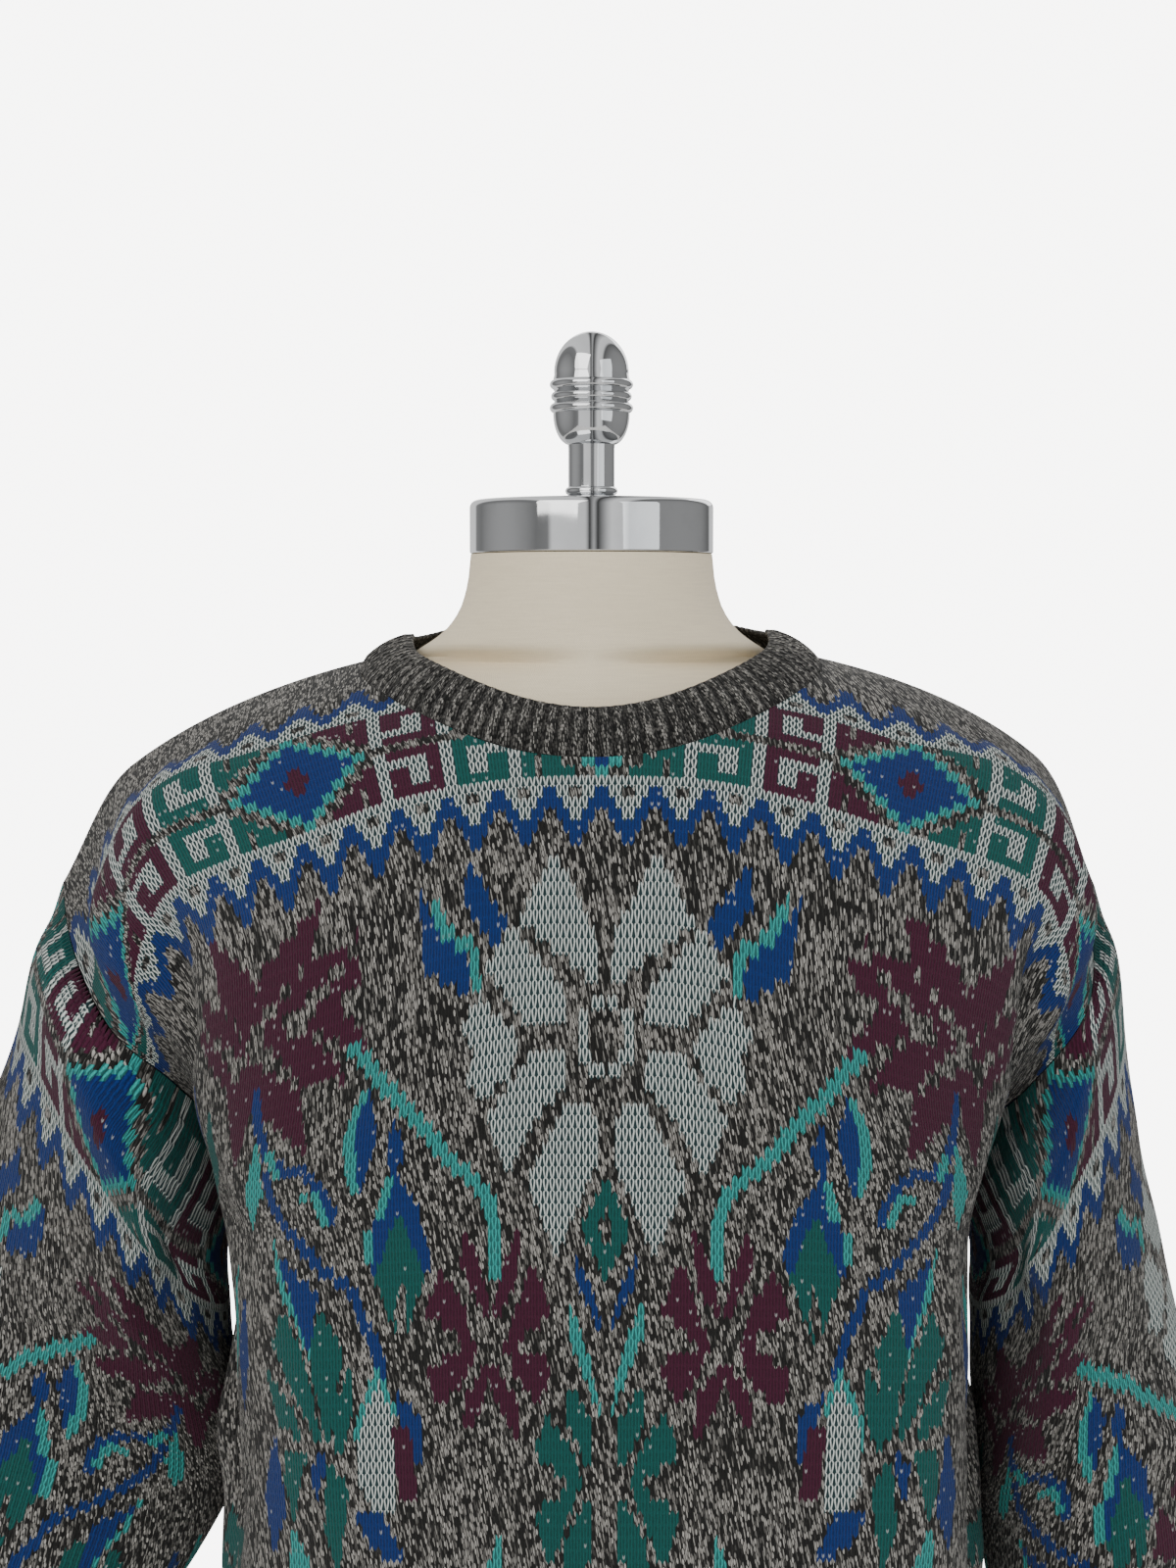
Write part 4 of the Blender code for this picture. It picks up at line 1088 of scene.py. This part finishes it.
def knit_material(name, settings, ribbed=False):
    """Looped yarn: two leaning legs a stitch, marled, plain or open, with shade painted between the
    strands and in the rib troughs.
    """
    n = Nodes(name)
    across, along, _ = n.parts(n.add("ShaderNodeUVMap", {"uv_map": "stitch"}))
    yarn = n.add("ShaderNodeAttribute", {"attribute_name": "yarn"}, None, 2)
    wale, course = across.fraction(), along.fraction()
    leg = abs(wale - 0.5) * 2
    lean = course * 0.26 + 0.36
    off = abs(leg - lean) / 0.42
    strand = (1 - off * off).math("MAXIMUM", 0.0)
    fibre = n.noise(n.vector(across * 5, along * 3 + leg * 1.5), 2.4, 3.0, 0.6)
    slant = across * (5.5 if ribbed else 3.4) + along * 1.35
    column, aside = slant.floor(), abs(slant.fraction() - 0.5)
    shifted = along * (3.0 if ribbed else 1.45) + n.random(n.vector(column, 0.0, 7.0)) * 0.9
    cell, ends = shifted.floor(), (shifted.fraction() - 0.5) * 2
    width = (1 - ends * ends).math("SQRT") * 0.47
    stroke = (width - aside).between(-0.03, 0.13)
    patch = n.noise(n.vector(across * 0.20, along * 0.15, 3.0), 1.0, 2.0, 0.5)
    tone = n.random(n.vector(column, cell, 2.0)) + (patch - 0.5) * 0.6
    bright = tone.between(0.20 if ribbed else 0.30, 1.00 if ribbed else 0.86)
    pale = n.mix(fibre.between(0.2, 0.8), tuple(0.78 * c for c in settings.pale), settings.pale)
    marl = n.mix(stroke * bright, settings.dark, pale)
    line = n.random(n.vector((across / 5).floor(), along.floor(), 5.0)) * 0.35
    chosen = (line + n.random(n.vector(across.floor(), along.floor(), 9.0))).between(1.08, 1.09)
    speck = chosen * (0.45 - leg).between(0.0, 0.2) * (0.17 - abs(course - 0.5)).between(0.0, 0.08)
    solid = n.add("ShaderNodeValToRGB", {
        "stops": ((0.0, settings.white), (0.3, settings.wine), (0.5, settings.blue),
                  (0.7, settings.green), (0.9, settings.aqua))}, {0: yarn / 5})
    solid.socket.node.color_ramp.interpolation = "CONSTANT"
    grain = n.mix(1.0, solid, n.mix(fibre.between(0.15, 0.85), (0.62,) * 3, (1.35,) * 3), "MULTIPLY")
    tight = n.mix(speck * 0.75, grain, (0.55, 0.58, 0.58))
    loop_rise = (along - (1 - leg) * settings.vee).fraction()
    swing = (loop_rise * 0.38 + 0.06) * (1 - loop_rise.math("POWER", 6.0)).math("SQRT")
    gap = (0.145 - abs(leg / 2 - swing)).between(0.0, 0.07)
    open_loop = n.mix(gap, (0.020, 0.055, 0.060), grain)
    is_white, is_aqua, is_marl = (yarn.math("COMPARE", float(number), 0.3)
                                  for number in (WHITE, AQUA, MARL))
    colour = n.mix(is_white + is_aqua * 0.6, tight, open_loop)
    colour = n.mix(is_marl, colour, marl)
    shade = strand.between(0.0, 0.7)
    colour = n.mix(1.0, colour, n.mix(shade, (0.62,) * 3, (1.06,) * 3), "MULTIPLY")
    if ribbed:
        # Painted shade: the colour is darkened in the rib troughs and left whole on the crests
        painted_rib_shade = (abs((across / 2).fraction() - 0.5) * 2).between(0.20, 0.75)
        colour = n.mix(1.0, colour, n.mix(painted_rib_shade, (0.22,) * 3, (1.0,) * 3), "MULTIPLY")
    height = strand + fibre * 0.25 + stroke * 0.3
    n.shader.inputs["Sheen Weight"].default_value = 0.08
    n.shader.inputs["Sheen Roughness"].default_value = 0.45
    n.shader.inputs["Specular IOR Level"].default_value = 0.25
    return n.finish(colour, fibre * 0.15 + 0.78, height, 0.75, 0.0011)


def linen_material(name, colour):
    """Cream twill stretched on the form."""
    n = Nodes(name)
    place = n.add("ShaderNodeTexCoord", None, None, 3)
    x, y, z = n.parts(place)
    turn = n.add("ShaderNodeMath", {"operation": "ARCTAN2"}, {0: y, 1: x}) * 0.062
    ridge = n.add("ShaderNodeMath", {"operation": "SINE"}, {0: (turn + z) * 6200})
    weft = n.add("ShaderNodeMath", {"operation": "SINE"}, {0: (turn - z * 0.25) * 5200})
    fibre = n.noise(place, 900.0, 3.0, 0.6)
    slub = n.noise(n.vector(turn * 60, z * 900), 1.0, 2.0, 0.5)
    patch = n.noise(place, 14.0, 2.0, 0.5)
    weave = ridge * 0.5 + weft * 0.22 + fibre
    tone = (weave * 0.22 + slub * 0.5 + patch * 0.35).between(0.15, 0.95)
    shade = n.mix(tone, tuple(0.86 * c for c in colour), tuple(min(1.06 * c, 1.0) for c in colour))
    n.shader.inputs["Sheen Weight"].default_value = 0.15
    n.shader.inputs["Specular IOR Level"].default_value = 0.3
    return n.finish(shade, fibre * 0.1 + 0.78, weave, 0.35, 0.0003)


def metal_material(name, colour):
    """Polished metal with faint wear."""
    n = Nodes(name)
    place = n.add("ShaderNodeTexCoord", None, None, 3)
    wear = n.noise(place, 40.0, 4.0, 0.6)
    scratch = n.noise(n.add("ShaderNodeMapping", None, {"Vector": place, "Scale": (300, 300, 4000)}),
                      1.0, 2.0, 0.5)
    n.shader.inputs["Metallic"].default_value = 1.0
    rough = wear.between(0.45, 0.8) * 0.05 + scratch * 0.02 + 0.03
    tone = n.mix(wear.between(0.4, 0.7), colour, tuple(0.93 * c for c in colour))
    return n.finish(tone, rough, scratch, 0.02, 0.0001)


# Form, stand and stage


def ridge_height(x):
    """Height of the cloth's shoulder ridge above a distance from the axis."""
    heights = []
    for sections in (LEFT_SECTIONS, RIGHT_SECTIONS):
        row = body_row(sections, RIDGE_T, False)
        heights.append(np.interp(x, row[:, 0], row[:, 2]))
    return float(min(heights))


def form_sections():
    """All sections of the form: trunk, shoulders that carry the cloth, neck."""
    shoulder = []
    low = FORM_SECTIONS[-1]
    for share in np.linspace(0.0, 1.0, SHOULDER_STATIONS):
        width = SHOULDER_TIP_X + (SHOULDER_ROOT_X - SHOULDER_TIP_X) * share
        height = ridge_height(width) - WALL - FORM_GAP
        inset = SHOULDER_INSET * (1 - share)
        front = low[2] + (SHOULDER_ROOT_FRONT - low[2]) * share**1.2 - inset
        back = low[3] + (SHOULDER_ROOT_BACK - low[3]) * share**1.2 - inset
        power = 1.32 + 0.10 * math.cos(math.pi * share)
        shoulder.append((height, width, front, back, RIDGE_Y, power))
    return list(FORM_SECTIONS) + shoulder + list(NECK_SECTIONS)


def form_ring(section, count):
    """Points round one section of the form."""
    z, half_width, front, back, middle_y, power = section
    angle = np.linspace(0.0, 2 * math.pi, count, endpoint=False)
    cos, sin = np.cos(angle), np.sin(angle)
    x = half_width * np.sign(cos) * np.abs(cos) ** (2 / power)
    depth = np.where(sin < 0, front, back)
    y = middle_y + depth * np.sign(sin) * np.abs(sin) ** (2 / power)
    return np.stack([x, y, np.full_like(x, z)], axis=-1)


def form_mesh(name, count):
    """The limbless trunk with its neck, closed and smooth."""
    table = form_sections()
    places = []
    for (low, *_), (high, *_) in zip(table, table[1:]):
        places += list(np.linspace(low, high, 4)[:-1])
    places.append(table[-1][0])
    rings = [form_ring((z, *spline(table, z)[0]), count) for z in places]
    bm = bmesh.new()
    grid = [[bm.verts.new(p) for p in ring] for ring in rings]
    for lower, upper in zip(grid, grid[1:]):
        for j in range(count):
            k = (j + 1) % count
            bm.faces.new((lower[j], lower[k], upper[k], upper[j]))
    bm.faces.new(grid[0][::-1])
    bm.faces.new(grid[-1])
    mesh = bpy.data.meshes.new(name)
    bm.to_mesh(mesh)
    bm.free()
    mesh.shade_smooth()
    mesh.set_sharp_from_angle(angle=math.radians(50))
    return mesh


def turned_mesh(name, profile, segments):
    """A turned solid from a profile of radius and height, top to bottom."""
    bm = bmesh.new()
    verts = [bm.verts.new((r, 0.0, z)) for r, z in profile]
    edges = [bm.edges.new(pair) for pair in zip(verts, verts[1:])]
    bmesh.ops.spin(bm, geom=verts + edges, cent=(0, 0, 0), axis=(0, 0, 1),
                   angle=2 * math.pi, steps=segments)
    bmesh.ops.remove_doubles(bm, verts=bm.verts[:], dist=0.00002)
    bmesh.ops.recalc_face_normals(bm, faces=bm.faces[:])
    mesh = bpy.data.meshes.new(name)
    bm.to_mesh(mesh)
    bm.free()
    mesh.shade_smooth()
    mesh.set_sharp_from_angle(angle=math.radians(40))
    return mesh


def arc(centre_r, centre_z, radius_r, radius_z, start, end, steps):
    """Profile points on an ellipse, angles in degrees from the horizontal."""
    angles = np.radians(np.linspace(start, end, steps))
    return [(centre_r + radius_r * math.cos(a), centre_z + radius_z * math.sin(a)) for a in angles]


def cap_profile():
    """Neck cap with a softly broken edge."""
    low = NECK_TOP_Z + STACK_GAP
    high = low + CAP_HEIGHT
    return ([(0.0, high + CAP_CROWN), (0.030, high + 0.0012)]
            + arc(CAP_RADIUS - 0.004, high - 0.004, 0.004, 0.004, 88, 2, 12)
            + [(CAP_RADIUS, low + 0.0012)]
            + arc(CAP_RADIUS - 0.0010, low + 0.0010, 0.001, 0.001, 0, -85, 5) + [(0.0, low)])


def finial_profile():
    """Acorn with three rings over a slim stem."""
    foot = NECK_TOP_Z + STACK_GAP + CAP_HEIGHT + CAP_CROWN + STACK_GAP
    tip = foot + FINIAL_HEIGHT
    profile = arc(0.0, tip - 0.020, 0.0185, 0.020, 90, -4, 28)
    for z, r in ((tip - 0.0262, 0.0207), (tip - 0.0320, 0.0200), (tip - 0.0378, 0.0207)):
        profile += arc(r - 0.0027, z, 0.0027, 0.0025, 68, -68, 12)
    profile += arc(0.0105, tip - 0.0405, 0.0085, 0.0155, 0, -82, 14)
    profile += [(0.0115, tip - 0.0580), (0.0115, foot + 0.0050)]
    profile += arc(0.0112, foot + 0.0028, 0.0018, 0.0020, 80, -80, 8)
    return profile + [(0.0128, foot + 0.0004), (0.0128, foot), (0.0, foot)]


def pole_profile():
    """Pole with a flange under the form and a collet on the base."""
    top, foot = FORM_FOOT_Z - STACK_GAP, BASE_HEIGHT + STACK_GAP
    return [(0.0, top), (FLANGE_RADIUS, top), (FLANGE_RADIUS, top - 0.012),
            (POLE_RADIUS, top - 0.020), (POLE_RADIUS, foot + 0.020), (COLLET_RADIUS, foot + 0.012),
            (COLLET_RADIUS, foot), (0.0, foot)]


def base_profile():
    """Round base with a bevelled rim."""
    return ([(0.0, BASE_HEIGHT), (0.120, BASE_HEIGHT)]
            + arc(BASE_RADIUS - 0.012, BASE_HEIGHT - 0.010, 0.012, 0.007, 70, 0, 10)
            + [(BASE_RADIUS, 0.003), (BASE_RADIUS - 0.003, 0.0), (0.0, 0.0)])


def area_light(name, place, target, size, power, colour):
    """A large soft light that faces a point."""
    light = bpy.data.lights.new(name, "AREA")
    light.shape = "RECTANGLE"
    light.size, light.size_y = size
    light.energy = power
    light.color = colour
    item = bpy.data.objects.new(name, light)
    bpy.context.scene.collection.objects.link(item)
    item.location = place
    direction = np.array(target) - np.array(place)
    flat = math.hypot(direction[0], direction[1])
    item.rotation_euler = (math.pi / 2 + math.atan2(direction[2], flat), 0.0,
                           math.atan2(-direction[0], direction[1]))
    return item


class SWEATER_OT_panels(bpy.types.Operator):
    """Knit the front and back panels"""
    bl_idname = "sweater.panels"
    bl_label = "Knit the panels"

    def execute(self, context):
        settings = context.scene.sweater_yarn
        material = knit_material("stranded_knit", settings)
        for back, name, area in ((False, "front_panel_knit", 0.371),
                                 (True, "back_panel_knit", 0.382)):
            piece = knit_panel(name, Body(back), settings, material)
        return {"FINISHED"}


class SWEATER_OT_sleeves(bpy.types.Operator):
    """Knit the two sleeves and their cuffs"""
    bl_idname = "sweater.sleeves"
    bl_label = "Knit the sleeves"

    def execute(self, context):
        settings = context.scene.sweater_yarn
        material = bpy.data.materials["stranded_knit"]
        rib = knit_material("marl_cuff_rib", settings, True)
        bodies = (Body(False), Body(True))
        for side, word in ((-1, "left"), (1, "right")):
            sleeve = Sleeve(side, bodies)
            piece = knit_sleeve(f"sleeve_{word}_knit", sleeve, settings, material)
            share = np.arange(CUFF_POINTS) / CUFF_POINTS
            level = np.full(CUFF_POINTS, sleeve.length)
            end = sleeve.bare(level, share)
            before = sleeve.bare(level - CUFF_LEAD, share)
            normal = sleeve.normal(level - 0.001, share)
            axis = unit((end - before).mean(axis=0))
            middle = end.mean(axis=0)
            low = middle + (end - middle) * CUFF_DRAW + axis * CUFF_HEIGHT
            facts = (CUFF_RIBS, CUFF_HEIGHT, 0.003, "bottom")
            cuff = knit_band(f"cuff_{word}_knit", low, end + axis * SEAM_GAP, normal, normal, facts,
                             settings, rib, f"cuff_{word}")
        return {"FINISHED"}


class SWEATER_OT_ribs(bpy.types.Operator):
    """Knit the collar and the hem"""
    bl_idname = "sweater.ribs"
    bl_label = "Knit the ribs"

    def execute(self, context):
        settings = context.scene.sweater_yarn
        rib = knit_material("marl_band_rib", settings, True)
        bodies = (Body(False), Body(True))
        base, top, normal = collar_rings(neck_ring(bodies, 145))
        facts = (COLLAR_RIBS, COLLAR_HEIGHT, 0.002, "top")
        collar = knit_band("collar_rib_knit", base, top, normal, normal, facts, settings, rib,
                           "collar_rib")
        s = np.linspace(-HALF_WIDTH, HALF_WIDTH, 241)
        level = np.full(len(s), HEM_T)
        ring = np.concatenate([bodies[0].place(s, level)[:-1], bodies[1].place(s[::-1], level)[:-1]])
        middle = ring.mean(axis=0)
        low = middle + (ring - middle) * (HEM_DRAW, HEM_DRAW, 0.0)
        low[:, 2] = middle[2] - HEM_HEIGHT
        top = ring - (0.0, 0.0, SEAM_GAP)
        tangent = np.roll(ring, -1, axis=0) - np.roll(ring, 1, axis=0)
        normal = unit(np.cross(tangent, top - low))
        facts = (HEM_RIBS, HEM_HEIGHT, 0.004, "bottom")
        hem = knit_band("hem_rib_knit", low, top, normal, unit(normal * (1, 1, 0)), facts, settings,
                        rib, "hem_rib")
        return {"FINISHED"}


class SWEATER_OT_form(bpy.types.Operator):
    """Build the dress form"""
    bl_idname = "sweater.form"
    bl_label = "Build the form"

    def execute(self, context):
        settings = context.scene.sweater_form
        linen = linen_material("stretched_linen", settings.linen)
        add_piece("form_cover", form_mesh("form_cover", 160), linen, "form_body")
        return {"FINISHED"}


class SWEATER_OT_stand(bpy.types.Operator):
    """Turn the cap, finial, pole and base"""
    bl_idname = "sweater.stand"
    bl_label = "Turn the stand"

    def execute(self, context):
        settings = context.scene.sweater_form
        metal = metal_material("polished_metal", settings.metal)
        for node, profile in (("neck_cap", cap_profile()), ("finial", finial_profile()),
                              ("pole", pole_profile()), ("base", base_profile())):
            name = f"{node}_turned"
            mesh = turned_mesh(name, profile, settings.segments)
            add_piece(name, mesh, metal, node)
        return {"FINISHED"}


class SWEATER_OT_stage(bpy.types.Operator):
    """Set the floor, the backdrop, the lights and the camera"""
    bl_idname = "sweater.stage"
    bl_label = "Set the stage"

    def execute(self, context):
        settings = context.scene.sweater_stage
        mesh = bpy.data.meshes.new("floor")
        corners = ((-1, -1), (1, -1), (1, 1), (-1, 1))
        mesh.from_pydata([(x * FLOOR_REACH, y * FLOOR_REACH, 0) for x, y in corners], [],
                         [(0, 1, 2, 3)])
        n = Nodes("pale_floor")
        grain = n.noise(n.add("ShaderNodeTexCoord", None, None, 3), 3.0, 3.0)
        tone = n.mix(grain, tuple(0.97 * c for c in settings.backdrop), tuple(settings.backdrop))
        mesh.materials.append(n.finish(tone, grain * 0.1 + 0.8))
        floor = bpy.data.objects.new("floor", mesh)
        floor.location.z = -0.0005
        context.scene.collection.objects.link(floor)
        for name, place, size, power, colour in (
                ("key_light", (-1.5, -2.4, 2.9), (2.4, 2.4), settings.key, (1.0, 0.985, 0.96)),
                ("fill_light", (2.2, -2.0, 1.9), (2.0, 2.4), settings.fill, (0.95, 0.98, 1.0)),
                ("rear_light", (0.6, 2.6, 2.6), (2.6, 1.6), settings.fill, (1.0, 1.0, 1.0))):
            area_light(name, place, LIGHT_TARGET, size, power, colour)
        world = bpy.data.worlds.new("studio")
        context.scene.world = world
        world.use_nodes = True
        tree = world.node_tree
        background = tree.nodes["Background"]
        background.inputs["Strength"].default_value = 1.0
        coordinate = tree.nodes.new("ShaderNodeTexCoord")
        split = tree.nodes.new("ShaderNodeSeparateXYZ")
        tree.links.new(coordinate.outputs["Generated"], split.inputs[0])
        ramp = tree.nodes.new("ShaderNodeValToRGB")
        fill_ramp(ramp.color_ramp, [(place, (level,) * 3) for place, level in ROOM_LEVELS])
        spread = tree.nodes.new("ShaderNodeMapRange")
        spread.inputs["From Min"].default_value = -1.0
        tree.links.new(split.outputs[0], spread.inputs["Value"])
        tree.links.new(spread.outputs[0], ramp.inputs[0])
        path = tree.nodes.new("ShaderNodeLightPath")
        glossy = tree.nodes.new("ShaderNodeMix")
        glossy.data_type = "RGBA"
        glossy.inputs[6].default_value = tuple(0.76 * c for c in settings.backdrop) + (1.0,)
        tree.links.new(path.outputs["Is Glossy Ray"], glossy.inputs[0])
        tree.links.new(ramp.outputs[0], glossy.inputs[7])
        seen = tree.nodes.new("ShaderNodeMix")
        seen.data_type = "RGBA"
        seen.inputs[7].default_value = tuple(8.0 * c for c in settings.backdrop) + (1.0,)
        tree.links.new(path.outputs["Is Camera Ray"], seen.inputs[0])
        tree.links.new(glossy.outputs[2], seen.inputs[6])
        tree.links.new(seen.outputs[2], background.inputs["Color"])
        camera = bpy.data.cameras.new("camera")
        camera.sensor_fit = "VERTICAL"
        camera.sensor_height = 36.0
        camera.lens = camera.sensor_height / 2 / math.tan(math.radians(CAMERA_VIEW / 2))
        camera.shift_x = -0.0022
        camera.clip_start = 0.05
        item = bpy.data.objects.new("camera", camera)
        context.scene.collection.objects.link(item)
        item.location = CAMERA_PLACE
        item.rotation_euler = (math.radians(90 - CAMERA_TILT), 0.0, 0.0)
        context.scene.camera = item
        return {"FINISHED"}


class SWEATER_PT_panel(bpy.types.Panel):
    """Lists the steps in order"""
    bl_label = "Sweater"
    bl_idname = "SWEATER_PT_panel"
    bl_space_type = "VIEW_3D"
    bl_region_type = "UI"
    bl_category = "Sweater"

    def draw(self, context):
        for group in (context.scene.sweater_yarn, context.scene.sweater_form,
                      context.scene.sweater_stage):
            box = self.layout.box()
            for key in group.bl_rna.properties.keys():
                if key not in ("rna_type", "name"):
                    box.prop(group, key)
        for operator in STEPS:
            self.layout.operator(operator.bl_idname)


STEPS = (SWEATER_OT_stage, SWEATER_OT_form, SWEATER_OT_stand, SWEATER_OT_panels,
         SWEATER_OT_sleeves, SWEATER_OT_ribs)
GROUPS = ((YarnSettings, "sweater_yarn"), (FormSettings, "sweater_form"),
          (StageSettings, "sweater_stage"))


def register():
    """Register the classes and the settings."""
    for group, name in GROUPS:
        bpy.utils.register_class(group)
        setattr(bpy.types.Scene, name, PointerProperty(type=group))
    for item in STEPS + (SWEATER_PT_panel,):
        bpy.utils.register_class(item)


def unregister():
    """Remove the classes and the settings."""
    for item in reversed(STEPS + (SWEATER_PT_panel,)):
        bpy.utils.unregister_class(item)
    for group, name in reversed(GROUPS):
        delattr(bpy.types.Scene, name)
        bpy.utils.unregister_class(group)


def main():
    """Run every step in order."""
    register()
    bpy.ops.sweater.stage()
    bpy.ops.sweater.form()
    bpy.ops.sweater.stand()
    bpy.ops.sweater.panels()
    bpy.ops.sweater.sleeves()
    bpy.ops.sweater.ribs()


if __name__ == "__main__":
    main()
